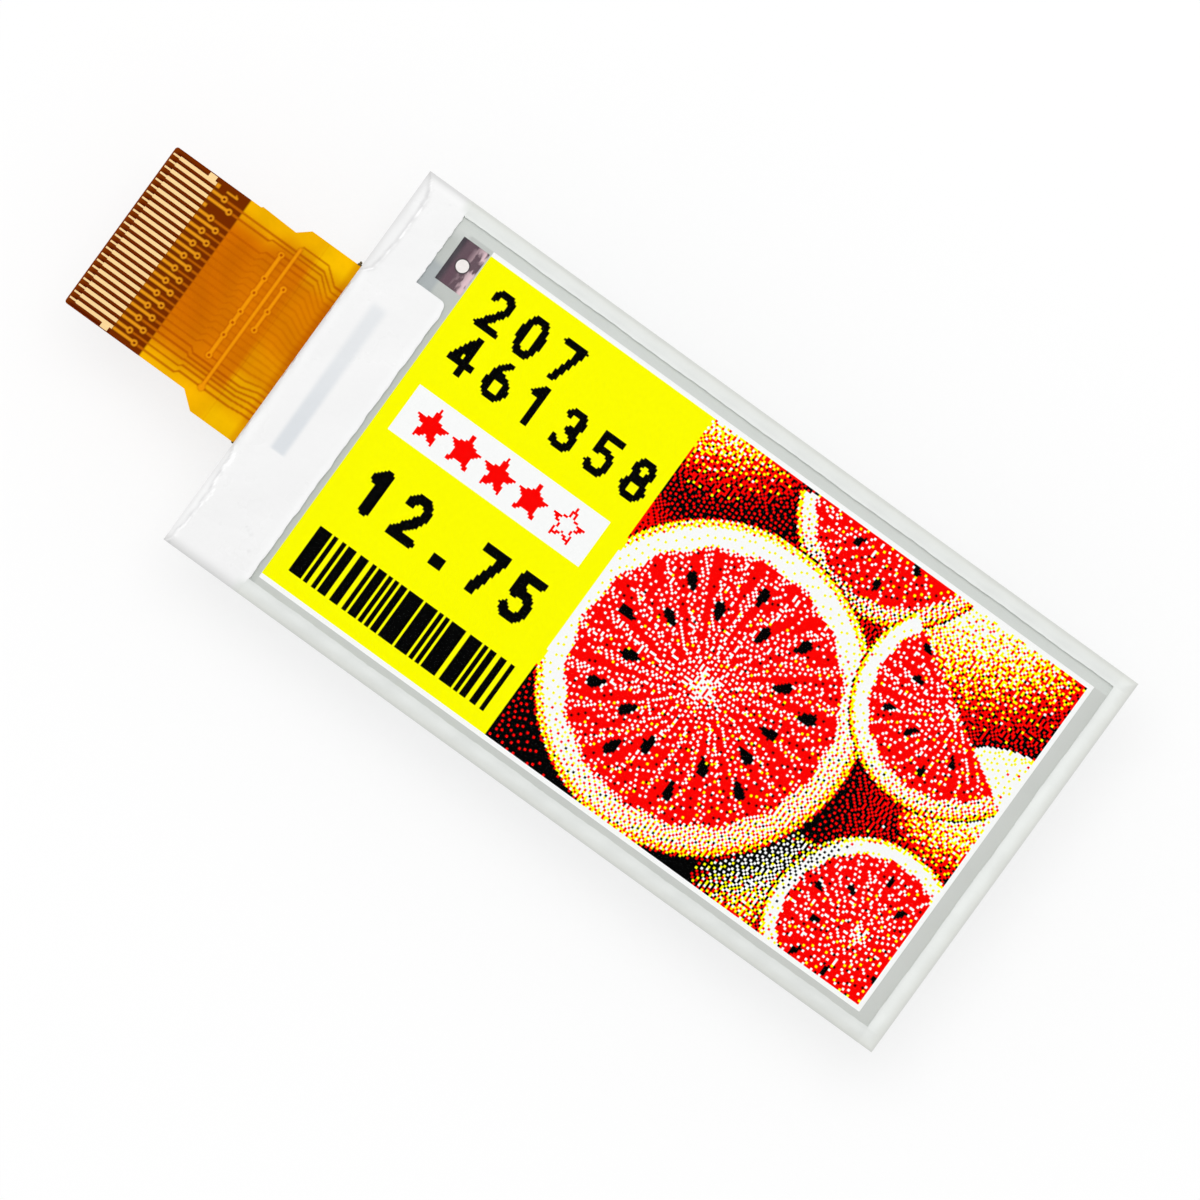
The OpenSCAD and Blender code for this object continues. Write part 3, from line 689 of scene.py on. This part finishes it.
def coat_tint(x, y):
    """White and greyer outside the ridge. It has a painted highlight on the ridge's crest, with
    painted shade beside the crest and on the sloping ends. It is bluish over the chip, and bead
    grey where they meet.
    """
    ridge = x - ridge_x(y)
    edge = mixed(COAT_EDGE, COAT_EDGE_LOW, 1 - smooth(-8.5, -6.5, y))
    colour = mixed(edge, COAT_WHITE, smooth(-0.1, 0.3, ridge))
    # Painted shade: a grey line just outside the ridge's crest.
    beside = np.exp(-((ridge + 0.11) / 0.07) ** 2) * (0.5 + 0.5 * np.sin(y * 2.9) ** 2)
    colour = mixed(colour, linear(214, 214, 215), beside * 0.7)
    # Painted highlight: white along the ridge's crest, and along a second crest low down.
    crest = np.exp(-(ridge / 0.055) ** 2) * smooth(-0.35, 0.3, np.sin(y * 3.7) + np.sin(y * 1.3))
    second = np.exp(-((ridge - 0.17) / 0.045) ** 2) * smooth(0.1, 0.6, np.sin(y * 2.3 + 1))
    crest = np.maximum(crest, second * (y < -7.5) * (y > -12.5))
    colour = mixed(colour, linear(255, 255, 255), crest * (np.abs(y) > 6.5) * 0.95)
    soft = 0.2 + 0.1 * smooth(-4, 5, y)
    lean = 0.04 + 0.007 * y
    over_chip = (
        smooth(CHIP_LOW[0] - soft, CHIP_LOW[0] + soft, x + lean)
        * (1 - smooth(CHIP_HIGH[0] - soft, CHIP_HIGH[0] + soft, x + lean))
        * smooth(CHIP_LOW[1] - 0.06, CHIP_LOW[1] + 0.12, y)
        * (1 - smooth(CHIP_HIGH[1] - 0.4, CHIP_HIGH[1] + 0.3, y))
    )
    colour = mixed(colour, CHIP_SHADE, over_chip * (1.0 - 0.38 * smooth(-6, 5, y)))
    root = (1 - smooth(GLASS_LOW[0] + 0.12, GLASS_LOW[0] + 0.3, x)) * (y > WIDE_LOW)
    colour = mixed(colour, linear(218, 218, 218), root * (y < WIDE_HIGH) * 0.8)
    for speck_x, speck_y, speck_r, depth in SCUFFS:
        gap = np.hypot((x - speck_x) / speck_r, (y - speck_y) / speck_r)
        colour = mixed(colour, linear(208, 209, 210), depth * (1 - smooth(0.2, 1, gap)))
    # Painted shade on the coat's sloping ends at the top and bottom.
    corners = smooth(GLASS_HIGH[1] - 0.7, GLASS_HIGH[1] - 0.1, np.abs(y))
    colour = mixed(colour, linear(206, 206, 205), corners * 0.55)
    high = smooth(INK_HIGH[1] - 0.1, INK_HIGH[1] + 0.5, y)
    low = 1 - smooth(INK_LOW[1] - 0.5, INK_LOW[1] + 0.1, y)
    bead = bead_tint(x, y)
    colour = mixed(colour, bead, high * smooth(TAB_LEFT - 0.7, TAB_LEFT, x))
    return mixed(colour, bead, low * smooth(FILM_LEFT - 0.8, FILM_LEFT, x))


def seal_pieces():
    xs, ys = rim_lines()
    glass_top = GLASS_HIGH[2]
    bead = plate("sealant_bead", xs, ys, bead_keep, bead_top, lambda x, y: glass_top,
                 sealant_material("milky_sealant", 0.34, 0.03, 0.03), "panel", wavy_rim, bead_tint)
    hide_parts("edge_seal")
    coat = plate("white_coat", xs, ys, coat_keep, coat_top, lambda x, y: glass_top,
                 sealant_material("white_silicone", 0.3, 0.012, 0.05), "panel", wavy_rim, coat_tint)
    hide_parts("ledge_coat")


def clear_front_material():
    """Laminated clear films: little colour of their own and a soft matt sheen."""
    s = Shader("clear_laminate")
    s.surface.inputs["Base Color"].default_value = (0.05, 0.055, 0.055, 1)
    s.surface.inputs["Alpha"].default_value = 0.015
    s.surface.inputs["Specular IOR Level"].default_value = 0.03
    grain = s.noise(0.03, 2)
    s.set(Roughness=s.ramp(grain, 0.3, 0.7, 0.32, 0.42))
    return s.bump(grain, 0.001, 0.3).material


def clear_front():
    """The three clear films over the ink as one laminate."""
    bottom = INK_HIGH[2] + 2 * PICTURE_THICKNESS
    piece = plate("clear_front", lines(TAB_LEFT, FILM_LEFT - TAB_RADIUS, FILM_LEFT,
                                       INK_HIGH[0], step=FILM_STEP * 4),
                  lines(INK_LOW[1], TAB_LOW - TAB_RADIUS, TAB_LOW, INK_HIGH[1],
                        step=FILM_STEP * 4),
                  in_films, lambda x, y: FRONT_TOP, lambda x, y: bottom,
                  clear_front_material(), "panel", rounded_corner)
    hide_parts("electrode_film", "optical_bond_film", "protective_sheet")


ink_picture_piece = ink_picture()
seal_pieces()
clear_front()

# Tail

TAIL_STEP = 0.05
TAIL_COLUMNS = 250
WIDE_LINES = np.linspace(WIDE_LOW, WIDE_HIGH, TAIL_COLUMNS + 1)
BENDS = 4
TAIL_AMBER = linear(240, 175, 2)
TAIL_DEEP = linear(211, 118, 2)
TAIL_DEEPER = linear(201, 101, 1)
BEND_YELLOW = linear(240, 182, 2)
BEND_ORANGE = linear(210, 118, 1)
BACK_LINE = linear(170, 72, 2)
FRONT_LINE = linear(236, 146, 8)
FRONT_RIM = linear(178, 78, 2)
STUB = linear(228, 148, 24)
END_DARK = linear(112, 40, 1)
# The darker end tone is painted shade, on the gaps' lower sides and around the raised lines over
# the stiffener.
END_SHADE = linear(84, 18, 1)
END_LINE = linear(184, 96, 6)
HOLE_DARK = linear(112, 40, 4)


def mesh_tree(*names):
    points, faces = [], []
    for name in names:
        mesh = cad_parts[name].data
        faces += [[v + len(points) for v in face.vertices] for face in mesh.polygons]
        points += [v.co.copy() for v in mesh.vertices]
    return BVHTree.FromPolygons(points, faces)


FIELD_STEP = 0.04
FIELD_X = np.arange(TAIL_LOW[0], GLASS_LOW[0] + 0.1, FIELD_STEP)
FIELD_Y = np.arange(TAIL_LOW[1], TAIL_HIGH[1] + FIELD_STEP, FIELD_STEP)


def soften(values, times):
    """Blurs a grid of values with its neighbours."""
    for _ in range(times):
        padded = np.pad(values, 1, mode="edge")
        values = (padded[:-2, 1:-1] + 2 * values + padded[2:, 1:-1]) / 4
        padded = np.pad(values, 1, mode="edge")
        values = (padded[1:-1, :-2] + 2 * values + padded[1:-1, 2:]) / 4
    return values


def field(names, times=1):
    """A function that is 1 over the named nodes and 0 beside them, blurred so many times."""
    tree = mesh_tree(*names)
    down = Vector((0, 0, -1))
    hits = np.array([
        [tree.ray_cast(Vector((x * MM, y * MM, 2 * MM)), down)[0] is not None for y in FIELD_Y]
        for x in FIELD_X
    ], float)
    values = soften(hits, times)

    def at(x, y):
        i = np.clip((x - FIELD_X[0]) / FIELD_STEP, 0, len(FIELD_X) - 1.001)
        j = np.clip((y - FIELD_Y[0]) / FIELD_STEP, 0, len(FIELD_Y) - 1.001)
        a, b = i.astype(int), j.astype(int)
        u, v = i - a, j - b
        low = values[a, b] * (1 - u) + values[a + 1, b] * u
        high = values[a, b + 1] * (1 - u) + values[a + 1, b + 1] * u
        return low * (1 - v) + high * v

    return at


STRIP_COPPERS = [f"bend_copper_{i + 1}" for i in range(BENDS)]
back_lines = field(["back_copper", *STRIP_COPPERS, "flex_root_copper"])
front_lines = field(["front_copper"])
solid_film = field(["tail_film", "front_copper"], 0)

NARROW_LOW, NARROW_HIGH = STIFFENER_LOW[1], STIFFENER_HIGH[1]
END_X = TAIL_LOW[0]
END_RADIUS = 0.2
outline = np.array([v.co[:2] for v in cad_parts["tail_film"].data.vertices]) / MM
UPPER_WIDE = outline[outline[:, 1] > WIDE_HIGH - 0.01][:, 0].min()
LOWER_WIDE = outline[outline[:, 1] < WIDE_LOW + 0.01][:, 0].min()
SHOULDER_RUN = 1.2
UPPER_NARROW = UPPER_WIDE - SHOULDER_RUN * (WIDE_HIGH - NARROW_HIGH)
LOWER_NARROW = LOWER_WIDE - SHOULDER_RUN * (NARROW_LOW - WIDE_LOW)
# Cutting step on the upper edge, beside the shoulder
STEP_GAP, STEP_LENGTH, STEP_HEIGHT = 0.1, 2.7, 0.1
STEP_RIGHT = UPPER_NARROW - STEP_GAP
STEP_LEFT = STEP_RIGHT - STEP_LENGTH


def tail_edges(x):
    """Lower and upper y of the tail along its length."""
    end = np.clip(END_X + END_RADIUS - x, 0, END_RADIUS)
    inset = END_RADIUS - np.sqrt(END_RADIUS ** 2 - end ** 2)
    high = np.interp(
        x, [STEP_LEFT, STEP_LEFT + STEP_HEIGHT, STEP_RIGHT, UPPER_NARROW, UPPER_WIDE],
        [NARROW_HIGH, NARROW_HIGH + STEP_HEIGHT, NARROW_HIGH, NARROW_HIGH, WIDE_HIGH],
    )
    low = np.interp(x, [LOWER_NARROW, LOWER_WIDE], [NARROW_LOW, WIDE_LOW])
    return low + inset, high - inset


def tail_warp(x, t):
    low, high = tail_edges(x)
    return x, low + (high - low) * t


def tail_grid(left, right, step=TAIL_STEP, count=TAIL_COLUMNS):
    stops = [left, END_X + END_RADIUS, STEP_LEFT, STEP_LEFT + STEP_HEIGHT, STEP_RIGHT,
             UPPER_NARROW, LOWER_NARROW, UPPER_WIDE, LOWER_WIDE, right]
    stops = sorted({s for s in stops if left <= s <= right})
    return lines(*stops, step=step), np.linspace(0, 1, count + 1)


def film_tint(x, y):
    """Amber film: deep orange where the back copper lies close, pale along the edges."""
    right = smooth(-34.5, -33.0, x)
    middle = smooth(-6.1, -3.8, y) * (1 - smooth(3.8 + 0.6 * right, 6.1 + 0.5 * right, y))
    tint = mixed(TAIL_AMBER, TAIL_DEEP, middle)
    deeper = middle * (1 - 0.5 * smooth(-35.4, -33.6, x)) * smooth(-5.2, -1.5, y)
    tint = mixed(tint, TAIL_DEEPER, deeper * 0.8)
    wide = 0.4 * smooth(-6.3, -5.0, y) + 0.37 * smooth(-3.6, -2.7, y) + 0.2 * smooth(-1.8, 0, y)
    wide = wide * (1 - 0.4 * smooth(3.5, 4.8, y) - 0.6 * smooth(5.0, 6.1, y))
    bend = mixed(BEND_YELLOW, BEND_ORANGE, wide)
    tint = mixed(tint, bend, smooth(-31.3, -30.8, x))
    root = smooth(-29.1, -28.6, x)
    tint = mixed(tint, tint * [0.8, 0.64, 0.2], root * 0.9)
    cloud = np.sin(x * 1.7 + 2 * np.sin(y * 0.6)) * np.sin(y * 0.83 + 1.2 * np.sin(x * 0.9))
    return tint * (1 + 0.06 * cloud)[..., None]


def cover_tint(x, y):
    tint = film_tint(x, y)
    middle = smooth(-3.9, -2.2, y) * (1 - smooth(3.2, 5.0, y))
    contrast = 0.78 - 0.5 * middle
    tint = mixed(tint, BACK_LINE, back_lines(x, y) * contrast)
    under_end = 1 - smooth(STIFFENER_HIGH[0] - 0.08, STIFFENER_HIGH[0] + 0.08, x)
    dark = mixed(END_DARK, END_LINE, back_lines(x, y))
    tint = mixed(tint, dark, under_end)
    # Painted shade: a darker rim around the raised front copper lines.
    near = np.maximum.reduce([
        front_lines(x + a, y + b) for a, b in ((0.09, 0), (-0.09, 0), (0, 0.09), (0, -0.09))
    ])
    tint = mixed(tint, mixed(FRONT_RIM, END_SHADE, under_end), near * 0.45)
    line = mixed(FRONT_LINE, STUB, under_end)
    tint = mixed(tint, line, front_lines(x, y))
    inside = (y > NARROW_LOW + 0.2) & (y < NARROW_HIGH - 0.2) & (x < BACK_HIGH[0])
    return mixed(tint, mixed(FRONT_RIM, HOLE_DARK, under_end), (1 - solid_film(x, y)) * inside)


def contact_tint(x, y):
    """Dark base between the contacts, with painted shade darkest on the lower side of each gap."""
    # Painted shade across each gap between the raised contacts, darkest on its lower side.
    pitch = (FINGERS_HIGH[1] + 0.06 - y) % 0.5 / 0.5
    shade = smooth(0.35, 0.75, pitch)
    inside = (y < FINGERS_HIGH[1]) & (y > FINGERS_LOW[1])
    tint = mixed(END_DARK, END_SHADE, shade * inside)
    warm = 1 - smooth(END_X + 0.05, END_X + 0.5, x)
    tint = mixed(tint, linear(134, 56, 4), 0.6 * warm)
    beyond = smooth(COVER_LOW[0] - 0.02, COVER_LOW[0] + 0.4, x)
    return mixed(tint, film_tint(x, y), beyond)


def back_tint(x, y):
    """The film from behind: its copper lines lie nearer there and look lighter."""
    tint = film_tint(x, y)
    tint = mixed(tint, BACK_LINE, 0.5 * front_lines(x, y))
    return mixed(tint, FRONT_LINE, back_lines(x, y) * 0.8)


BASE_THICKNESS = 0.03
TAIL_FILM = film_material("amber_polyimide", 0.34)
TAIL_COVER = film_material("amber_cover_film", 0.3)


def tail_pieces():
    base_z, base_top = TAIL_HIGH[2] - BASE_THICKNESS, TAIL_HIGH[2]
    base = plate("tail_base", *tail_grid(END_X, BACK_HIGH[0], 0.1), everywhere,
                 lambda x, y: base_top, lambda x, y: base_z, TAIL_FILM, "tail", tail_warp,
                 contact_tint)
    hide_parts("tail_film")
    cover = plate("front_cover", *tail_grid(COVER_LOW[0], COVER_HIGH[0]), everywhere,
                  lambda x, y: COVER_HIGH[2] - 0.014 + 0.012 * front_lines(x, y)
                  + 0.004 * back_lines(x, y),
                  lambda x, y: base_top, TAIL_COVER, "tail", tail_warp, cover_tint)
    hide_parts("front_coverlay")
    back = plate("back_cover", *tail_grid(END_X, BACK_HIGH[0], 0.07, 200), everywhere,
                 lambda x, y: base_z, lambda x, y: BACK_LOW[2] + 0.006 - 0.006 * back_lines(x, y),
                 TAIL_COVER, "tail", tail_warp, back_tint)
    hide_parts("back_coverlay")
    root = plate("tail_root", lines(BEND_START, GLASS_LOW[0], ROOT_RIGHT, step=0.08), WIDE_LINES,
                 everywhere, lambda x, y: base_top,
                 lambda x, y: np.where(x < GLASS_LOW[0] - 0.01, BEND_LOW[2], base_z),
                 TAIL_FILM, "panel", None, cover_tint)
    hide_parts("flex_root_film", "flex_root_copper")


BODIES = ["panel", "bend_1", "bend_2", "bend_3", "bend_4", "tail"]
BEND_GAP, BEND_LENGTH = 0.45, 2.06
BEND_START = GLASS_LOW[0] - BEND_GAP
BEND_STEP = BEND_LENGTH / (len(BODIES) - 1)


def bend_pieces():
    """The bend in five lengths, each from the middle of one strip to the middle of the next."""
    for place, (first, second) in enumerate(zip(BODIES, BODIES[1:])):
        right = BEND_START - place * BEND_STEP
        left = right - BEND_STEP
        piece = plate(f"bend_length_{place + 1}", lines(left, right, step=0.05), WIDE_LINES,
                      everywhere, lambda x, y: BEND_HIGH[2], lambda x, y: BEND_LOW[2],
                      TAIL_COVER, None, None, cover_tint)
        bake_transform(piece)
        if place < BENDS:
            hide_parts(f"bend_film_{place + 1}", f"bend_copper_{place + 1}")


def glue_tuft(name, x, y, radius):
    """A small irregular bead of cured glue where the tail leaves the glass."""
    rings, sides = 6, 14
    z = 0.48
    points, faces = [], []
    for i in range(rings + 1):
        a = math.pi * i / rings
        for j in range(sides):
            b = math.tau * j / sides
            r = radius * (1 + 0.22 * math.sin(3 * b + x) + 0.12 * math.sin(5 * b + 2 * a))
            points.append([x + 0.8 * r * math.sin(a) * math.cos(b),
                           y + r * math.sin(a) * math.sin(b), z + 0.75 * r * math.cos(a)])
    for i in range(rings):
        for j in range(sides):
            k = (j + 1) % sides
            faces.append([i * sides + j, (i + 1) * sides + j, (i + 1) * sides + k, i * sides + k])
    material = plain_material(name, (96, 78, 34), 0.3, size=0.08, amount=0.35, bump=0.02)
    mesh_piece(name, points, faces, material, "panel")


tail_pieces()
bend_pieces()
glue_tuft("glue_tuft_upper", GLASS_LOW[0] - 0.14, WIDE_HIGH + 0.08, 0.19)
glue_tuft("glue_tuft_lower", GLASS_LOW[0] - 0.06, WIDE_LOW + 0.02, 0.13)

# Looks of the CAD nodes that are shown as they are


def pad_material():
    """Thin metal with a violet tarnish, darkest along its left edge, with a painted shadow ringing
    the silver dot.
    """
    s = Shader("tarnished_pad")
    x = s.node("ShaderNodeSeparateXYZ", {"Vector": s.place()}).outputs["X"]
    cloud = s.noise(0.55, 4, 0.5, (1, 0.4, 1))
    left = s.ramp(x, PAD_LOW[0] + 0.2, PAD_LOW[0] + 0.5)
    tone = s.mix(left, linear(36, 22, 36), linear(80, 54, 66))
    right = s.ramp(x, PAD_HIGH[0] - 1.1, PAD_HIGH[0] - 0.2)
    patch = s.node("ShaderNodeMath", {0: right, 1: s.ramp(cloud, 0.46, 0.54)},
                   operation="MULTIPLY").outputs[0]
    tone = s.mix(patch, tone, linear(206, 178, 184))
    # Painted shadow: a dark ring at the foot of the silver dot.
    centre = [*((DOT_LOW + DOT_HIGH) / 2)[:2], PAD_HIGH[2]]
    gap = s.node("ShaderNodeVectorMath", {0: s.place(), 1: centre}, operation="DISTANCE")
    tone = s.mix(s.ramp(gap.outputs["Value"], 0.56, 0.48), tone, linear(34, 18, 26))
    s.set(Base_Color=s.varied(tone, cloud, 0.25), Roughness=s.ramp(cloud, 0.3, 0.7, 0.45, 0.65))
    s.surface.inputs["Metallic"].default_value = 0.2
    return s.bump(cloud, 0.004, 0.4).material


def glass_material():
    s = Shader("panel_glass")
    s.surface.inputs["Base Color"].default_value = (*linear(206, 222, 218), 1)
    s.surface.inputs["Alpha"].default_value = 0.4
    cloud = s.noise(8, 2)
    s.set(Roughness=s.ramp(cloud, 0.3, 0.7, 0.05, 0.09))
    return s.bump(cloud, 0.002, 0.2).material


def array_material():
    """Fine rows and columns of the transistor array."""
    s = Shader("transistor_array")
    place = s.place()
    cells = s.node("ShaderNodeTexBrick", {"Vector": place, "Scale": 1.0, "Mortar Size": 0.012,
                                          "Brick Width": PITCH, "Row Height": PITCH},
                   offset=0.0)
    share = cells.outputs["Fac"]
    s.set(Base_Color=s.mix(share, linear(120, 122, 126), linear(78, 80, 86)))
    s.set(Roughness=s.ramp(s.noise(3, 3), 0.3, 0.7, 0.3, 0.42))
    s.surface.inputs["Metallic"].default_value = 0.5
    return s.bump(share, 0.002, 0.4).material


def ink_border_material():
    """Grey ink cells outside the picture, under the clear films. They have painted shade on the
    left strip beside the coat and low on the tab, and painted light on the tab's upper part and
    along the top band.
    """
    s = Shader("ink_border")
    cloud, grain = s.noise(2.2, 3), s.noise(0.06, 2)
    place = s.node("ShaderNodeSeparateXYZ", {"Vector": s.place()})
    x, y = place.outputs["X"], place.outputs["Y"]
    left = s.ramp(x, TAB_LEFT + 1.25, TAB_LEFT + 1.0)
    low = s.ramp(y, TAB_LOW + 2.1, TAB_LOW + 1.7)
    # Painted shade low on the tab's left side.
    patch = s.node("ShaderNodeMath", {0: left, 1: low}, operation="MULTIPLY").outputs[0]
    # Painted shade along the left strip beside the coat.
    tone = s.mix(s.ramp(x, FILM_LEFT + 0.55, FILM_LEFT + 0.4), linear(203, 206, 202),
                 linear(194, 198, 194))
    tone = s.mix(patch, tone, linear(176, 182, 183))
    # Painted light on the upper part of the tab.
    upper = s.node("ShaderNodeMath", {0: left, 1: s.ramp(y, TAB_LOW + 3.6, TAB_LOW + 4.8)},
                   operation="MULTIPLY").outputs[0]
    tone = s.mix(upper, tone, linear(218, 221, 218))
    # Painted light along the top band.
    tone = s.mix(s.ramp(y, INK_HIGH[1] - 0.85, INK_HIGH[1] - 0.75), tone, linear(212, 216, 212))
    s.set(Base_Color=s.varied(s.varied(tone, cloud, 0.02), grain, 0.02))
    s.set(Roughness=s.ramp(grain, 0.3, 0.7, 0.6, 0.75))
    s.surface.inputs["Specular IOR Level"].default_value = 0.1
    return s.material


MATERIALS = {
    "backplane_glass": glass_material(),
    "pixel_array": array_material(),
    "ink_layer": ink_border_material(),
    "electrode_pad": pad_material(),
    "ledge_wiring": plain_material("ledge_lines", (132, 134, 138), 0.35, 0.8),
    "ink_bond_film": plain_material("ink_bond", (196, 198, 192), 0.5),
    "driver_chip": plain_material("silicon", (92, 98, 106), 0.18, 0.2, size=0.2),
    "chip_bond_film": plain_material("chip_bond", (170, 156, 120), 0.5),
    "flex_bond_film": plain_material("flex_bond", (170, 146, 96), 0.5),
    "root_glue": plain_material("root_glue", (120, 96, 42), 0.3, size=0.3, amount=0.3,
                                bump=0.03),
    "contact_fingers": plain_material("pale_gold", (211, 179, 122), 0.42, 0.3, size=0.12,
                                      amount=0.07, bump=0.006, scale=(0.35, 1, 1)),
    "front_copper": plain_material("front_copper", (214, 132, 72), 0.35, 0.9),
    "back_copper": plain_material("back_copper", (206, 120, 62), 0.35, 0.9),
    "stiffener": plain_material("stiffener_polyimide", (150, 66, 10), 0.3, size=1.2),
    "stiffener_bond": plain_material("stiffener_bond", (120, 60, 20), 0.6),
    "conductive_dot": plain_material("silver_glue", (239, 234, 231), 0.6, size=0.2,
                                     bump=0.02),
}
REPLACED = {"edge_seal", "ledge_coat", "electrode_film", "optical_bond_film", "protective_sheet",
            "tail_film", "front_coverlay", "back_coverlay", "flex_root_film", "flex_root_copper"}
for name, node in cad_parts.items():
    if name in REPLACED or name.startswith("bend_"):
        continue
    node.data.materials.clear()
    node.data.materials.append(MATERIALS[name])
    node.data.shade_smooth()
    node.data.set_sharp_from_angle(angle=SHARP_ANGLE)


# Camera, light and floor

# Straight from above: place and width in millimetres, turn in degrees, height in metres
CAMERA_X, CAMERA_Y = -3.13, -1.33
CAMERA_TURN = 35.93
VIEW_WIDTH = 78.125
CAMERA_HEIGHT = 1.2
camera_data = bpy.data.cameras.new("camera")
camera_data.sensor_width = 36
camera_data.lens = camera_data.sensor_width * CAMERA_HEIGHT / (VIEW_WIDTH * MM)
camera_data.clip_start = 0.1
camera_data.clip_end = 5
camera = bpy.data.objects.new("camera", camera_data)
camera.location = (CAMERA_X * MM, CAMERA_Y * MM, CAMERA_HEIGHT)
camera.rotation_euler = (0, 0, math.radians(CAMERA_TURN))
bpy.context.scene.collection.objects.link(camera)
bpy.context.scene.camera = camera
bpy.context.scene.view_settings.view_transform = "Standard"

lamp_data = bpy.data.lights.new("softbox", "AREA")
lamp_data.shape = "RECTANGLE"
lamp_data.size = 0.5
lamp_data.size_y = 0.35
lamp_data.energy = 2.35
lamp = bpy.data.objects.new("softbox", lamp_data)
lamp.location = (-0.11, 0.15, 0.7)
lamp.rotation_euler = Vector(lamp.location).to_track_quat("Z", "Y").to_euler()
bpy.context.scene.collection.objects.link(lamp)


def largest(tree, *values):
    """The largest of some sockets' values."""
    result = values[0]
    for value in values[1:]:
        node = tree.nodes.new("ShaderNodeMath")
        node.operation = "MAXIMUM"
        tree.links.new(result, node.inputs[0])
        tree.links.new(value, node.inputs[1])
        result = node.outputs[0]
    return result


def seen_ray(tree):
    """1 for rays that show a thing to the camera, also in mirrors and through glass."""
    path = tree.nodes.new("ShaderNodeLightPath").outputs
    return largest(tree, path["Is Camera Ray"], path["Is Glossy Ray"], path["Is Transmission Ray"])


WORLD_LIGHT = 0.65
# Share of plain white in the floor where it is seen, which keeps its shadows faint
FLOOR_GLOW = 0.75
world = bpy.data.worlds.new("studio")
bpy.context.scene.world = world
world.use_nodes = True
background = world.node_tree.nodes["Background"]
background.inputs["Color"].default_value = (1, 1, 1, 1)
strength = world.node_tree.nodes.new("ShaderNodeMapRange")
strength.inputs["To Min"].default_value = WORLD_LIGHT
strength.inputs["To Max"].default_value = 1.0
world.node_tree.links.new(seen_ray(world.node_tree), strength.inputs["Value"])
world.node_tree.links.new(strength.outputs["Result"], background.inputs["Strength"])


def floor_material():
    """Pale floor that takes soft shadows. It is only seen from above and lets light up to the
    underside of the part."""
    s = Shader("studio_floor")
    s.set(Base_Color=s.varied(linear(252, 252, 252), s.noise(40, 2), 0.004))
    s.surface.inputs["Roughness"].default_value = 0.9
    s.surface.inputs["Specular IOR Level"].default_value = 0.1
    tree = s.material.node_tree
    white = s.node("ShaderNodeEmission", {"Color": (1, 1, 1, 1), "Strength": 1.0})
    share = s.ramp(seen_ray(tree), 0, 1, 0, FLOOR_GLOW)
    lit = s.node("ShaderNodeMixShader", {0: share, 1: s.surface.outputs[0], 2: white.outputs[0]})
    path = s.node("ShaderNodeLightPath").outputs
    behind = s.node("ShaderNodeNewGeometry").outputs["Backfacing"]
    open_to = largest(tree, behind, path["Is Shadow Ray"], path["Is Diffuse Ray"])
    clear = s.node("ShaderNodeBsdfTransparent")
    mix = s.node("ShaderNodeMixShader", {0: open_to, 1: lit.outputs[0], 2: clear.outputs[0]})
    s.put(mix.outputs[0], s.nodes["Material Output"].inputs["Surface"])
    return s.material


# Room under the panel for the tail's end at any one fold
FLOOR_DROP = 8.8
FLOOR_REACH = 600
floor = mesh_piece(
    "floor", [[FLOOR_REACH * sx, FLOOR_REACH * sy, -FLOOR_DROP]
              for sx, sy in ((-1, -1), (1, -1), (1, 1), (-1, 1))],
    [[0, 1, 2, 3]], floor_material(), None)
